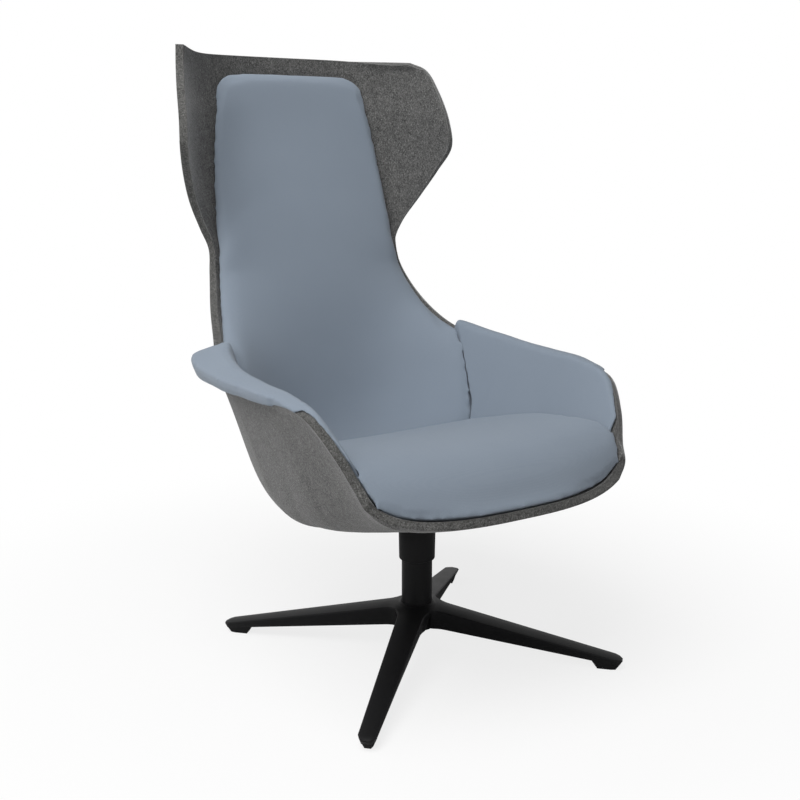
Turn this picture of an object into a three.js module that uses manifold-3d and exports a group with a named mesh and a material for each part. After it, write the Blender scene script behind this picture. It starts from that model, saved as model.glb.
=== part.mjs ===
// Acoustic high back lounge chair: a moulded felt shell with wings and arms, loose pads
// upholstered inside it, and a cast four-leg base that the seat swivels on.
// Millimetres, +Z up, the sitter faces -Y and the floor is z = 0.

import * as THREE from "three";
import { mergeVertices } from "three/addons/utils/BufferGeometryUtils.js";
import Module from "manifold-3d";

const wasm = await Module();
wasm.setup();

const { lerp, clamp, degToRad } = THREE.MathUtils;
const point = (x, y, z) => new THREE.Vector3(x, y, z);

// Clearances that every seat, bore and cut takes its size from.
const seatGap = 0.3; // between two pieces that rest against each other
const seamGap = 0.5; // between two upholstered pads
const padGap = 2; // between the felt and a pad, which rests on its board
const runningGap = 0.8; // between the turning collar and the column
const cutOverrun = 4; // how far a cutting tool runs past the face it cuts
const weldDistance = 0.001; // vertices closer than this are one vertex
const roundSides = 36;
const hiddenSides = 24; // of round pieces that nothing shows

// Cast base, by heights above the floor and distances from the column axis.
const legCount = 4;
const legReach = 391.5; // to the tip of the nose
const legRoot = 60; // where the leg leaves the hub
const legRootTop = 90;
const legRootUnderside = 52.5;
const legNoseTop = 21;
const legNoseUnderside = 9.6;
const legRootHalfWidth = 25.5;
const legNoseHalfWidth = 16.2;
const legUnderShare = 0.7; // width of the underside, of the top's
const legCrown = 2.5;
const legArris = 2;
const legWall = 4; // sides, ribs and skin of the hollow casting
const legSkin = 6;
const legFillet = 32; // in plan, between two neighbouring legs
const legPocketShares = [
  [0.01, 0.19],
  [0.2, 0.4],
  [0.41, 0.6],
  [0.61, 0.785],
];
const noseLength = 13.5;
const noseShares = [
  [0, 1, 0, 0],
  [0.56, 0.8, 0.02, 0],
  [1, 0.43, 0.1, 0.74],
];
const hubUnderside = 52;
const hubTop = 101;
const hubBelly = 44; // its largest radius
const hubLip = 1.5; // wall at its top
const hubLedge = 6; // floor under the column
const hubOpening = 20; // radius of the hole in that floor
const hubShares = [
  [0.24, 0],
  [0.55, 0.44],
  [1, 0.76],
  [0.85, 0.855],
  [0.32, 0.93],
  [0, 1],
];
const glideLength = 49;
const glideSetback = 6.5; // from the tip of the nose
const glideDraft = 0.3; // slant of its sides, as the leg's
const glideShares = [
  // along it, height of its foot and width, as shares of the leg's underside
  [0, 0.92, 0.96],
  [0.2, 0, 0.98],
  [0.7, 0, 0.95],
  [0.88, 0, 0.76],
  [1, 0.9, 0.68],
];
const glidePegRadius = 4;
const glidePegHeight = 8;

// Column and swivel bearing.
const columnRadius = 29;
const columnWall = 4;
const columnTop = 228;
const spindleRadius = 15;
const spindleFoot = 14; // how far it stands above the foot of the column
const bushFlange = 3;
const bushDepth = 32;
const lowerBushHeight = 26;
const lowerBushRise = 26; // above the foot of the column
const washerThickness = 2;
const raceInset = 1; // edge of the thrust washers, inside the column's outer face
const ballRadius = 3;
const ballCount = 8;
const ballPitch = 22; // radius of the ring of balls
const ballPlay = 0.15; // above and below a ball
const cageThickness = 2.5;
const cageHalfWidth = 5;
const retainerWidth = 7; // of the washer under the lower bush
const clipThickness = 2;
const clipWidth = 3.5;
const clipDepth = 1.5; // of the groove that the clip sits in
const clipOpening = 9; // gap between its ends
const collarWall = 2.9;
const collarTaper = 1.2; // wider at the top than at the foot
const collarDrop = 41; // how far it hangs below the top of the column
const collarChamfer = 3;
const collarLip = 5; // height of the inward lip at its foot

// Seat bracket: a cast spider that lies between the felt and the seat board, with a boss
// that passes down through the felt onto the spindle.
const bossRadius = 32;
const bossGrip = 19.8; // height of the boss inside the collar
const spindleGrip = 36; // how far the spindle enters the boss
const bracketThickness = 8;
const bracketArmRoot = 22; // half widths
const bracketArmTip = 14;
const lugPlaceShares = [
  [0.112, 0.25],
  [0.112, 0.333],
];
const bracketSpanShares = [0.2, 0.4]; // of the spine, past the ends of the bracket
const bracketHalfShare = 0.2;
const screwRadius = 4;
const screwHole = 0.6; // clearance round a screw
const screwHead = 9;
const screwHeadHeight = 2.8;
const screwKey = 3.4; // radius of the hexagon socket
const screwKeyDepth = 2;
const screwTipClearance = 1;

// Felt shell, measured on its outer skin.
const shellHalfWidth = 329; // at the arms
const shellFront = 322; // seat edge, ahead of the column axis
const shellBack = 546; // top edge, behind the column axis
const shellHeight = 878; // from its lowest point to its top edge
const shellDrop = 12.8; // from its lowest point down to the foot of the boss
const feltThickness = 15;

// The shell is a fan of ribs. Each station of these tables is one rib: the spine gives its
// root as shares of the shell's depth and height, the rim gives its end as shares of the
// half width, depth and height, the wall gives the way it leaves the rim, and the
// fullness gives its two handle lengths as shares of its reach.
const spineShares = [
  [0, 0.115],
  [0.025, 0.107],
  [0.069, 0.093],
  [0.135, 0.074],
  [0.198, 0.056],
  [0.279, 0.037],
  [0.394, 0.013],
  [0.509, 0.002],
  [0.619, 0.023],
  [0.711, 0.083],
  [0.777, 0.171],
  [0.826, 0.279],
  [0.87, 0.404],
  [0.91, 0.53],
  [0.94, 0.644],
  [0.96, 0.729],
  [0.974, 0.797],
  [0.984, 0.86],
  [0.992, 0.923],
  [0.997, 0.968],
  [1, 1],
];
const rimShares = [
  [0.717, 0.037, 0.14],
  [0.815, 0.061, 0.166],
  [0.845, 0.082, 0.197],
  [0.906, 0.115, 0.255],
  [0.97, 0.173, 0.313],
  [0.994, 0.262, 0.328],
  [1, 0.388, 0.327],
  [0.991, 0.509, 0.327],
  [0.93, 0.622, 0.339],
  [0.827, 0.719, 0.374],
  [0.748, 0.803, 0.435],
  [0.687, 0.856, 0.509],
  [0.672, 0.87, 0.564],
  [0.723, 0.868, 0.609],
  [0.815, 0.839, 0.672],
  [0.888, 0.8, 0.735],
  [0.936, 0.765, 0.792],
  [0.93, 0.771, 0.849],
  [0.903, 0.804, 0.923],
  [0.86, 0.838, 0.976],
  [0.784, 0.866, 0.994],
];
const wallShares = [
  [0.88, 0.38, 0.29],
  [0.62, 0.15, 0.77],
  [0.42, 0.08, 0.9],
  [0.42, 0.02, 0.9],
  [0.41, 0, 0.91],
  [0.39, 0, 0.92],
  [0.39, 0, 0.92],
  [0.39, 0, 0.92],
  [0.375, 0, 0.927],
  [0.38, 0, 0.925],
  [0.42, -0.05, 0.9],
  [0.55, -0.2, 0.81],
  [0.72, -0.29, 0.63],
  [0.74, -0.56, 0.36],
  [0.64, -0.73, 0.22],
  [0.49, -0.86, 0.1],
  [0.42, -0.905, 0.02],
  [0.45, -0.89, 0],
  [0.5, -0.865, 0],
  [0.6, -0.8, 0],
  [0.72, -0.69, -0.05],
];
const fullnessShares = [
  [0.33, 0.33],
  [0.72, 0.2],
  [0.76, 0.24],
  [0.7, 0.44],
  [0.66, 0.58],
  [0.67, 0.67],
  [0.68, 0.71],
  [0.68, 0.71],
  [0.66, 0.68],
  [0.61, 0.58],
  [0.57, 0.46],
  [0.5, 0.38],
  [0.5, 0.33],
  [0.55, 0.3],
  [0.62, 0.28],
  [0.64, 0.27],
  [0.62, 0.27],
  [0.6, 0.27],
  [0.6, 0.27],
  [0.6, 0.25],
  [0.62, 0.25],
];
const ribStations = spineShares.length - 1;
const shellColumns = 20;
const shellRowsPerStation = 2;

// Seat and back boards: moulded plywood that lies on the inside of the felt.
const boardThickness = 18;
const backBoardThickness = 8;
const armBoardThickness = 5;
const seatBoardSpanShares = [0.1, 0.4]; // along the spine
const seatBoardHalfShare = 0.4; // across, of each rib
const backBoardSpanShares = [0.5, 0.9];
const backBoardHalfShare = 0.3;
const armBoardSpanShares = [0.225, 0.35];
const armBoardRiseShares = [0.8, 0.9];

// Seat cushion: its centre line and its side seam from the front to the back, as shares of
// the shell's half width, depth and height.
const seatSkirt = 5; // upright edge under its rounding
const seatFrontShare = 0.008; // of the spine, where its front edge stands
const seatSideShare = 0.985; // of the front rib
const seatCentreShares = [
  [0, 0.021, 0.152],
  [0, 0.043, 0.184],
  [0, 0.08, 0.212],
  [0, 0.14, 0.225],
  [0, 0.255, 0.219],
  [0, 0.37, 0.198],
  [0, 0.486, 0.169],
  [0, 0.62, 0.136],
];
const seatSideShares = [
  [0.765, 0.066, 0.164],
  [0.778, 0.083, 0.188],
  [0.79, 0.1, 0.212],
  [0.815, 0.137, 0.232],
  [0.83, 0.24, 0.229],
  [0.82, 0.35, 0.212],
  [0.8, 0.463, 0.186],
  [0.74, 0.585, 0.155],
];
const seatRoll = 16; // how far its edge rolls down into the seam
const seatRollShare = 0.09; // of the half width, over which it rolls
const seatFootShares = [
  [0, 0.97],
  [0.25, 0.95],
  [0.45, 0.88],
  [1, 0.74],
];
const seatFootEnd = 0.4;

// Back pad, by its edge on the ribs and its thickness up the spine.
const backPadFootShare = 0.42; // where its foot stands on the spine
const backPadTopShare = 0.941;
const backPadSeamShare = 0.2; // of its height, up to the top of the arm seam
const backPadEdge = 24; // thickness where it meets its neighbours
const backPadBulge = 76; // thickness at its foot, the thickest place
const backPadSkirt = 5; // upright edge under its rounding
const backPadCorner = 48; // radius of its top corners
const backPadHeightShare = 0.776; // its height, of the shell's
const backPadBulgeShares = [
  [0, 1],
  [0.12, 1.02],
  [0.25, 0.9],
  [0.4, 0.75],
  [0.6, 0.6],
  [0.8, 0.5],
  [1, 0.42],
];
const backPadEdgeShares = [
  [0.42, 0.985],
  [0.58, 0.985],
  [0.62, 0.93],
  [0.66, 0.78],
  [0.7, 0.62],
  [0.75, 0.47],
  [0.8, 0.405],
  [0.85, 0.395],
  [0.9, 0.39],
  [0.941, 0.37],
];

// Arm pads, along the rim from the front end to the shoulder.
const armPadSpanShares = [0.1225, 0.44]; // on the rim
const armPadSeamShares = [0.359, 0.421]; // the back seam, at its foot and at its crest
const armPadNotchShare = 0.29; // of the pad's run, where it starts to cap the felt
const armPadThickness = 24;
const armOverhang = 45; // widest reach of the arm rest outside the felt
const armRise = 20; // highest rise of the arm rest above the rim
const armLip = 18; // how far the arm rest hangs below the rim outside the felt
const armSeamCurl = 3.2; // how sharply the back seam turns up to its crest
const armRounding = 9;
const armLipRounding = 4;
const armFootShares = [
  [0, 0.87],
  [0.3, 0.8],
  [0.7, 0.75],
  [1, 0.7],
];
const armThicknessShares = [
  [0, 0.5],
  [0.3, 0.6],
  [0.6, 0.8],
  [0.83, 0.95],
  [1, 1],
];
const armOverhangShares = [
  [0.29, 0.15],
  [0.45, 0.22],
  [0.6, 0.29],
  [0.75, 0.48],
  [0.87, 0.82],
  [0.93, 1],
  [0.97, 0.9],
  [0.99, 0.6],
  [1, 0.33],
];
const armLipShares = [
  [0.29, 0.45],
  [0.45, 0.6],
  [0.7, 0.85],
  [1, 1],
];
const armRiseShares = [
  [0, 0],
  [0.2, 0],
  [0.25, 0.1],
  [0.3, 0.45],
  [0.38, 0.65],
  [0.5, 0.75],
  [0.6, 0.85],
  [0.75, 0.95],
  [0.85, 1],
  [0.92, 0.6],
  [1, -0.2],
];
const armOuterRiseShares = [
  [0, 0],
  [0.2, 0],
  [0.25, 0.1],
  [0.3, 0.5],
  [0.38, 0.7],
  [0.6, 0.9],
  [0.8, 1.05],
  [0.9, 1.2],
  [0.95, 0.85],
  [1, 0.35],
];

// Materials.
const finishes = {
  felt: new THREE.MeshStandardMaterial({ color: 0x5b5b5a, roughness: 0.95, metalness: 0 }),
  fabric: new THREE.MeshStandardMaterial({ color: 0x7d8896, roughness: 0.9, metalness: 0 }),
  casting: new THREE.MeshStandardMaterial({ color: 0x1b1b1c, roughness: 0.45, metalness: 0.3 }),
  plastic: new THREE.MeshStandardMaterial({ color: 0x222224, roughness: 0.6, metalness: 0 }),
  steel: new THREE.MeshStandardMaterial({ color: 0x9a9da1, roughness: 0.35, metalness: 1 }),
  plywood: new THREE.MeshStandardMaterial({ color: 0xb89468, roughness: 0.7, metalness: 0 }),
  bush: new THREE.MeshStandardMaterial({ color: 0xd8d6cf, roughness: 0.5, metalness: 0 }),
};

const chair = new THREE.Group();

// Turns a three.js geometry into a solid that can be cut and joined.
function solidOf(geometry) {
  const loose = geometry.index ? geometry.toNonIndexed() : geometry.clone();
  loose.deleteAttribute("normal");
  loose.deleteAttribute("uv");
  const welded = mergeVertices(loose, weldDistance);
  return new wasm.Manifold(
    new wasm.Mesh({
      numProp: 3,
      vertProperties: welded.attributes.position.array,
      triVerts: new Uint32Array(welded.index.array),
    }),
  );
}

function geometryOf(solid) {
  const mesh = solid.getMesh();
  const geometry = new THREE.BufferGeometry();
  const places = [];
  for (let vertex = 0; vertex < mesh.numVert; vertex += 1) {
    const start = vertex * mesh.numProp;
    places.push(...mesh.vertProperties.subarray(start, start + 3));
  }
  geometry.setAttribute("position", new THREE.Float32BufferAttribute(places, 3));
  geometry.setIndex([...mesh.triVerts]);
  geometry.computeVertexNormals();
  return geometry;
}

// Adds one named piece to the chair, from a solid or a geometry.
function addPiece(name, shape, finish, mirrored = false) {
  const geometry = shape.isBufferGeometry ? shape : geometryOf(shape);
  const mesh = new THREE.Mesh(geometry, finishes[finish].clone());
  mesh.name = name;
  if (mirrored) mesh.scale.x = -1;
  chair.add(mesh);
  return mesh;
}

function curveThrough(points) {
  return new THREE.CatmullRomCurve3(points, false, "centripetal");
}

// Reads a table of rows [key, value] at a key, on a smooth curve through the rows.
function tableAt(rows, key) {
  const last = rows.length - 1;
  if (key <= rows[0][0]) return rows[0][1];
  if (key >= rows[last][0]) return rows[last][1];
  const right = rows.findIndex((row) => row[0] >= key);
  const left = right - 1;
  const slope = (index) => {
    const before = rows[Math.max(index - 1, 0)];
    const after = rows[Math.min(index + 1, last)];
    return (after[1] - before[1]) / (after[0] - before[0]);
  };
  const width = rows[right][0] - rows[left][0];
  const t = (key - rows[left][0]) / width;
  const flat = t * t * (3 - 2 * t);
  const bendLeft = t * (1 - t) * (1 - t) * width * slope(left);
  const bendRight = t * t * (t - 1) * width * slope(right);
  return lerp(rows[left][1], rows[right][1], flat) + bendLeft + bendRight;
}

// Heights that follow from the stack of pieces in the column.
const columnFoot = hubUnderside + hubLedge;
const columnBore = columnRadius - columnWall;
const bearingFoot = columnTop + bushFlange + 2 * seatGap;
const ballHeight = bearingFoot + washerThickness + ballPlay + ballRadius;
const bearingHead = ballHeight + ballRadius + ballPlay;
const bossFoot = bearingHead + washerThickness + seatGap;
const collarTop = bossFoot + bossGrip;
const shellUnderside = bossFoot + shellDrop;

// The felt shell's outer skin.
const shellPlace = (x, y, z) =>
  point(
    x * shellHalfWidth,
    lerp(-shellFront, shellBack, y),
    shellUnderside + z * shellHeight,
  );
const spine = curveThrough(spineShares.map(([y, z]) => shellPlace(0, y, z)));
const rim = curveThrough(rimShares.map((row) => shellPlace(...row)));
const wall = curveThrough(wallShares.map((row) => point(...row)));
const fullness = curveThrough(fullnessShares.map(([root, end]) => point(root, end, 0)));

function skinPoint(u, v) {
  const root = spine.getPoint(v);
  const end = rim.getPoint(v);
  const reach = root.distanceTo(end);
  const full = fullness.getPoint(v);
  const rootHandle = root.clone().add(point(reach * full.x, 0, 0));
  const endHandle = end.clone().addScaledVector(wall.getPoint(v).normalize(), -reach * full.y);
  const t = Math.abs(u);
  const s = 1 - t;
  const place = point(0, 0, 0)
    .addScaledVector(root, s * s * s)
    .addScaledVector(rootHandle, 3 * s * s * t)
    .addScaledVector(endHandle, 3 * s * t * t)
    .addScaledVector(end, t * t * t);
  if (u < 0) place.x *= -1;
  return place;
}

const skinStepShare = 0.004;
const skinSideShare = 0.04; // the rim takes its normal from this far inside it
const skinEndShare = 0.03;

// Points out of the shell: down under the seat and rearwards behind the back.
function skinNormal(u, v) {
  const uIn = clamp(u, -1 + skinSideShare, 1 - skinSideShare);
  const vIn = clamp(v, skinEndShare, 1 - skinEndShare);
  const across = skinPoint(uIn + skinStepShare, vIn).sub(skinPoint(uIn - skinStepShare, vIn));
  const along = skinPoint(uIn, vIn + skinStepShare).sub(skinPoint(uIn, vIn - skinStepShare));
  return along.cross(across).normalize();
}

function shellPoint(u, v, depth) {
  return skinPoint(u, v).addScaledVector(skinNormal(u, v), -depth);
}

// A closed solid between two grids of points. The first grid faces out of the shell. The
// diagonals of its two halves mirror each other.
function gridSolid(columns, rows, outer, inner) {
  const places = [];
  for (const side of [outer, inner]) {
    for (let j = 0; j <= rows; j += 1) {
      for (let i = 0; i <= columns; i += 1) places.push(...side(i / columns, j / rows).toArray());
    }
  }
  const perSide = (columns + 1) * (rows + 1);
  const at = (side, i, j) => side * perSide + j * (columns + 1) + i;
  const faces = [];
  const quad = (a, b, c, d) => {
    const right = places[a * 3] + places[c * 3] > 0;
    faces.push(...(right ? [a, b, c, a, c, d] : [b, c, d, b, d, a]));
  };
  for (let j = 0; j < rows; j += 1) {
    for (let i = 0; i < columns; i += 1) {
      quad(at(0, i, j), at(0, i, j + 1), at(0, i + 1, j + 1), at(0, i + 1, j));
      quad(at(1, i, j), at(1, i + 1, j), at(1, i + 1, j + 1), at(1, i, j + 1));
    }
    quad(at(0, 0, j + 1), at(0, 0, j), at(1, 0, j), at(1, 0, j + 1));
    quad(at(0, columns, j), at(0, columns, j + 1), at(1, columns, j + 1), at(1, columns, j));
  }
  for (let i = 0; i < columns; i += 1) {
    quad(at(0, i, 0), at(0, i + 1, 0), at(1, i + 1, 0), at(1, i, 0));
    quad(at(0, i + 1, rows), at(0, i, rows), at(1, i, rows), at(1, i + 1, rows));
  }
  const geometry = new THREE.BufferGeometry();
  geometry.setAttribute("position", new THREE.Float32BufferAttribute(places, 3));
  geometry.setIndex(faces);
  return solidOf(geometry);
}

function shellSolid(growth = 0) {
  const rows = ribStations * shellRowsPerStation;
  return gridSolid(
    shellColumns,
    rows,
    (i, j) => shellPoint(lerp(-1, 1, i), j, -growth),
    (i, j) => shellPoint(lerp(-1, 1, i), j, feltThickness + growth),
  );
}

// A closed solid through a row of closed outlines that all have the same number of points.
function loftSolid(outlines) {
  const count = outlines[0].length;
  const places = outlines.flat().flatMap((place) => place.toArray());
  const faces = [];
  for (let row = 0; row < outlines.length - 1; row += 1) {
    for (let i = 0; i < count; i += 1) {
      const next = (i + 1) % count;
      const [a, b] = [row * count + i, row * count + next];
      faces.push(a, b, b + count, a, b + count, a + count);
    }
  }
  const last = outlines.length - 1;
  for (const [row, turned] of [[0, true], [last, false]]) {
    for (const [a, b, c] of capFaces(outlines[row])) {
      const face = turned ? [a, c, b] : [a, b, c];
      faces.push(...face.map((index) => row * count + index));
    }
  }
  const geometry = new THREE.BufferGeometry();
  geometry.setAttribute("position", new THREE.Float32BufferAttribute(places, 3));
  geometry.setIndex(faces);
  const solid = solidOf(geometry);
  if (solid.volume() > 0) return solid;
  geometry.setIndex(faces.reverse());
  return solidOf(geometry);
}

// Fills a nearly flat closed outline with triangles that keep its turning direction.
function capFaces(outline) {
  const normal = point(0, 0, 0);
  outline.forEach((place, i) => {
    const next = outline[(i + 1) % outline.length];
    normal.x += (place.y - next.y) * (place.z + next.z);
    normal.y += (place.z - next.z) * (place.x + next.x);
    normal.z += (place.x - next.x) * (place.y + next.y);
  });
  normal.normalize();
  const side = Math.abs(normal.x) < 0.9 ? point(1, 0, 0) : point(0, 1, 0);
  const right = side.addScaledVector(normal, -side.dot(normal)).normalize();
  const up = normal.clone().cross(right);
  const flat = outline.map((place) => new THREE.Vector2(place.dot(right), place.dot(up)));
  return THREE.ShapeUtils.triangulateShape(flat, []);
}

// A ring or disc turned round the Z axis from a closed profile of [radius, height] pairs.
function turnedSolid(profile, sides = roundSides) {
  const closed = [...profile, profile[0]].map(([radius, height]) => new THREE.Vector2(radius, height));
  const turning = THREE.ShapeUtils.area(closed);
  const ordered = turning > 0 ? closed : closed.reverse();
  return solidOf(new THREE.LatheGeometry(ordered, sides).rotateX(degToRad(90)));
}

// The largest body of a trimmed solid, without its offcuts.
function mainBody(solid) {
  return solid.decompose().reduce((best, body) => (body.volume() > best.volume() ? body : best));
}

// Moves every vertex outwards, for a tool that cuts a neighbour with clearance.
function grown(solid, distance) {
  const geometry = geometryOf(solid);
  const place = geometry.getAttribute("position");
  const normal = geometry.getAttribute("normal");
  for (let i = 0; i < place.count; i += 1) {
    place.setXYZ(
      i,
      place.getX(i) + normal.getX(i) * distance,
      place.getY(i) + normal.getY(i) * distance,
      place.getZ(i) + normal.getZ(i) * distance,
    );
  }
  return solidOf(geometry);
}

// A board or tool that follows the shell between two depths below its outer skin.
function liningSolid(acrossShares, alongShares, depths, columns, rows) {
  const skin = (depth) => (i, j) => shellPoint(lerp(...acrossShares, i), lerp(...alongShares, j), depth);
  return gridSolid(columns, rows, skin(depths[0]), skin(depths[1]));
}

const liningDepth = feltThickness + seatGap;
const padDepth = feltThickness + padGap;
const seatBoard = liningSolid(
  [-seatBoardHalfShare, seatBoardHalfShare],
  seatBoardSpanShares,
  [liningDepth, liningDepth + boardThickness],
  8,
  12,
);
const backBoard = liningSolid(
  [-backBoardHalfShare, backBoardHalfShare],
  backBoardSpanShares,
  [liningDepth, liningDepth + backBoardThickness],
  6,
  8,
);
const armBoard = liningSolid(
  armBoardRiseShares,
  armBoardSpanShares,
  [liningDepth, liningDepth + armBoardThickness],
  1,
  5,
);

// Arm pad: the rim's own frame, measured out from the felt's outer face and up past its edge.
function rimPlace(v, out, up) {
  return skinPoint(1, v)
    .addScaledVector(skinNormal(1, v), out)
    .addScaledVector(wall.getPoint(v).normalize(), up);
}

const armInnerRows = 6;
const armInnerTopShare = 0.96;
const armSections = [
  0, 0.05, 0.12, 0.2, 0.25, 0.286, 0.294, 0.36, 0.44, 0.52, 0.6, 0.68, 0.76, 0.83, 0.88, 0.92,
  0.955, 0.98, 1,
];

function armThickness(run) {
  return armPadThickness * tableAt(armThicknessShares, run);
}

// Where the pad's inner face lies at a share of its run and a share of its height.
function armStation(run, height) {
  return lerp(armPadSpanShares[0], lerp(...armPadSeamShares, height ** armSeamCurl), run);
}

function armOutline(run) {
  const thickness = armThickness(run);
  const capped = run >= armPadNotchShare;
  const overhang = capped ? armOverhang * tableAt(armOverhangShares, run) : -feltThickness / 2;
  const rise = armRise * tableAt(armRiseShares, run);
  const outerRise = armRise * tableAt(armOuterRiseShares, run);
  const lip = capped ? armLip * tableAt(armLipShares, run) : armLipRounding * 2;
  const foot = tableAt(armFootShares, run);
  const inner = -feltThickness - thickness;
  const crest = armStation(run, 1);
  const outside = lerp(...armPadSpanShares, run);
  const outline = [];
  for (let i = 0; i < armInnerRows; i += 1) {
    const height = i / (armInnerRows - 1);
    const u = lerp(foot, armInnerTopShare, height);
    outline.push(shellPoint(u, armStation(run, height), liningDepth + thickness));
  }
  outline.push(rimPlace(crest, inner, rise - armRounding));
  outline.push(rimPlace(crest, inner + armRounding * 0.3, rise - armRounding * 0.3));
  outline.push(rimPlace(crest, inner + armRounding, rise));
  outline.push(rimPlace(outside, overhang - armLipRounding, outerRise));
  outline.push(rimPlace(outside, overhang, outerRise - armLipRounding));
  outline.push(rimPlace(outside, overhang, armLipRounding - lip));
  outline.push(rimPlace(outside, overhang - armLipRounding, -lip));
  outline.push(rimPlace(outside, -feltThickness / 2, -lip));
  for (let i = armInnerRows - 1; i >= 0; i -= 1) {
    const height = i / armInnerRows;
    const u = lerp(foot, armInnerTopShare, height);
    outline.push(shellPoint(u, armStation(run, height), feltThickness / 2));
  }
  return outline;
}

const shellTool = grown(shellSolid(), seatGap);
const armPadWhole = loftSolid(armSections.map(armOutline));
const armPadTool = grown(armPadWhole, seamGap);
const armPad = mainBody(armPadWhole.subtract(shellTool).subtract(grown(armBoard, seatGap)));

// Back pad: p runs across from -1 to 1 and q up from its foot to its top.
function backPadStation(p, q) {
  const centre = lerp(backPadFootShare, backPadTopShare, q);
  const seam = clamp(q / backPadSeamShare, 0, 1);
  const above = clamp((q - backPadSeamShare) / (1 - backPadSeamShare), 0, 1);
  const edge = lerp(lerp(...armPadSeamShares, seam ** armSeamCurl), backPadTopShare, above);
  return lerp(centre, edge, Math.abs(p) ** 2.2);
}

const backPadHeight = shellHeight * backPadHeightShare;

function backPadHalf(q) {
  const seam = clamp(q / backPadSeamShare, 0, 1);
  const onSeam = lerp(armFootShares.at(-1)[1], backPadEdgeShares[0][1], seam);
  const half = seam < 1 ? onSeam : tableAt(backPadEdgeShares, backPadStation(1, q));
  const drop = clamp(((1 - q) * backPadHeight) / backPadCorner, 0, 1);
  const cut = 1 - Math.sqrt(1 - (1 - drop) ** 2);
  const reach = skinPoint(half, backPadStation(1, q)).x;
  return half * (1 - (cut * backPadCorner) / reach);
}

function backPadPlace(p, q, onFace) {
  const v = backPadStation(p, q);
  const u = p * backPadHalf(q);
  if (!onFace) return shellPoint(u, v, padDepth);
  const centre = backPadBulge * tableAt(backPadBulgeShares, q);
  const full = lerp(backPadEdge, centre, 1 - Math.abs(p) ** 2.5);
  const round = (1 - Math.abs(p) ** 12) ** (1 / 3) * (1 - q ** 40) ** (1 / 3);
  return shellPoint(u, v, padDepth + backPadSkirt + (full - backPadSkirt) * round);
}

const backPadColumns = 16;
const backPadRows = 17;
const spread = (i) => Math.sin(degToRad(90) * lerp(-1, 1, i));
const backPadWhole = gridSolid(
  backPadColumns,
  backPadRows,
  (i, j) => backPadPlace(spread(i), 1 - (1 - j) ** 1.6, false),
  (i, j) => backPadPlace(spread(i), 1 - (1 - j) ** 1.6, true),
);
const backPad = mainBody(
  backPadWhole
    .subtract(grown(backBoard, seatGap))
    .subtract(armPadTool)
    .subtract(armPadTool.mirror([1, 0, 0])),
);

// Seat cushion: a crowned top between its centre line and its side seams, over a foot that
// lies in the shell. Its sides and back run into the neighbouring pads, which trim it.
const seatColumns = 12;
const seatRows = 12;
const seatCorner = (u) => shellPoint(u, seatFrontShare, padDepth + seatSkirt);
const seatCentreLine = curveThrough([
  seatCorner(0),
  ...seatCentreShares.map((row) => shellPlace(...row)),
]);
const seatSideLine = curveThrough([
  seatCorner(seatSideShare),
  ...seatSideShares.map((row) => shellPlace(...row)),
]);

function seatTop(p, q) {
  const centre = seatCentreLine.getPoint(q);
  const side = seatSideLine.getPoint(q);
  const outward = Math.abs(p) ** 2.4;
  const place = point(p * side.x, lerp(centre.y, side.y, outward), lerp(centre.z, side.z, outward));
  const front = seatCorner(p * seatSideShare);
  const flat = point(
    p * seatSideLine.getPoint(0).x,
    lerp(seatCentreLine.getPoint(0).y, seatSideLine.getPoint(0).y, outward),
    lerp(seatCentreLine.getPoint(0).z, seatSideLine.getPoint(0).z, outward),
  );
  place.addScaledVector(front.sub(flat), (1 - q) ** 6);
  const toEdge = clamp((1 - Math.abs(p)) / seatRollShare, 0, 1);
  const roll = 1 - Math.sqrt(1 - (1 - toEdge) ** 2);
  place.z -= seatRoll * roll * clamp(q * 3, 0, 1);
  return place;
}

function seatFoot(p, q) {
  const side = tableAt(seatFootShares, q);
  return shellPoint(p * side, lerp(seatFrontShare, seatFootEnd, q), padDepth);
}

const seatCushion = mainBody(
  gridSolid(
    seatColumns,
    seatRows,
    (i, j) => seatFoot(spread(i), j ** 1.5),
    (i, j) => seatTop(spread(i), j ** 1.5),
  )
    .subtract(grown(seatBoard, seatGap))
    .subtract(armPadTool)
    .subtract(armPadTool.mirror([1, 0, 0]))
    .subtract(grown(backPadWhole, seamGap)),
);

// A frame on the shell's skin, with its third axis pointing into the shell.
function skinFrame(u, v) {
  const inward = skinNormal(u, v).negate();
  const along = point(0, 1, 0).addScaledVector(inward, -inward.y).normalize();
  const across = along.clone().cross(inward);
  return new THREE.Matrix4().makeBasis(across, along, inward).setPosition(skinPoint(u, v));
}

const placed = (solid, frame) => solid.transform(frame.elements);

function rod(radius, bottom, top, sides = hiddenSides) {
  return solidOf(
    new THREE.CylinderGeometry(radius, radius, top - bottom, sides)
      .rotateX(degToRad(90))
      .translate(0, 0, (top + bottom) / 2),
  );
}

const ring = (inner, outer, bottom, top, sides = hiddenSides) =>
  turnedSolid([[inner, bottom], [outer, bottom], [outer, top], [inner, top]], sides);

// Seat bracket: arms cut from a slice of the lining, so that they lie flat on the felt.
const bracketTop = liningDepth + bracketThickness;
const bracketSlice = (depths) =>
  liningSolid([-bracketHalfShare, bracketHalfShare], bracketSpanShares, depths, 4, 4);
const lugPlaces = lugPlaceShares.flatMap(([u, v]) => [[u, v], [-u, v]]);
const spindleTop = bossFoot + spindleGrip;

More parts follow.
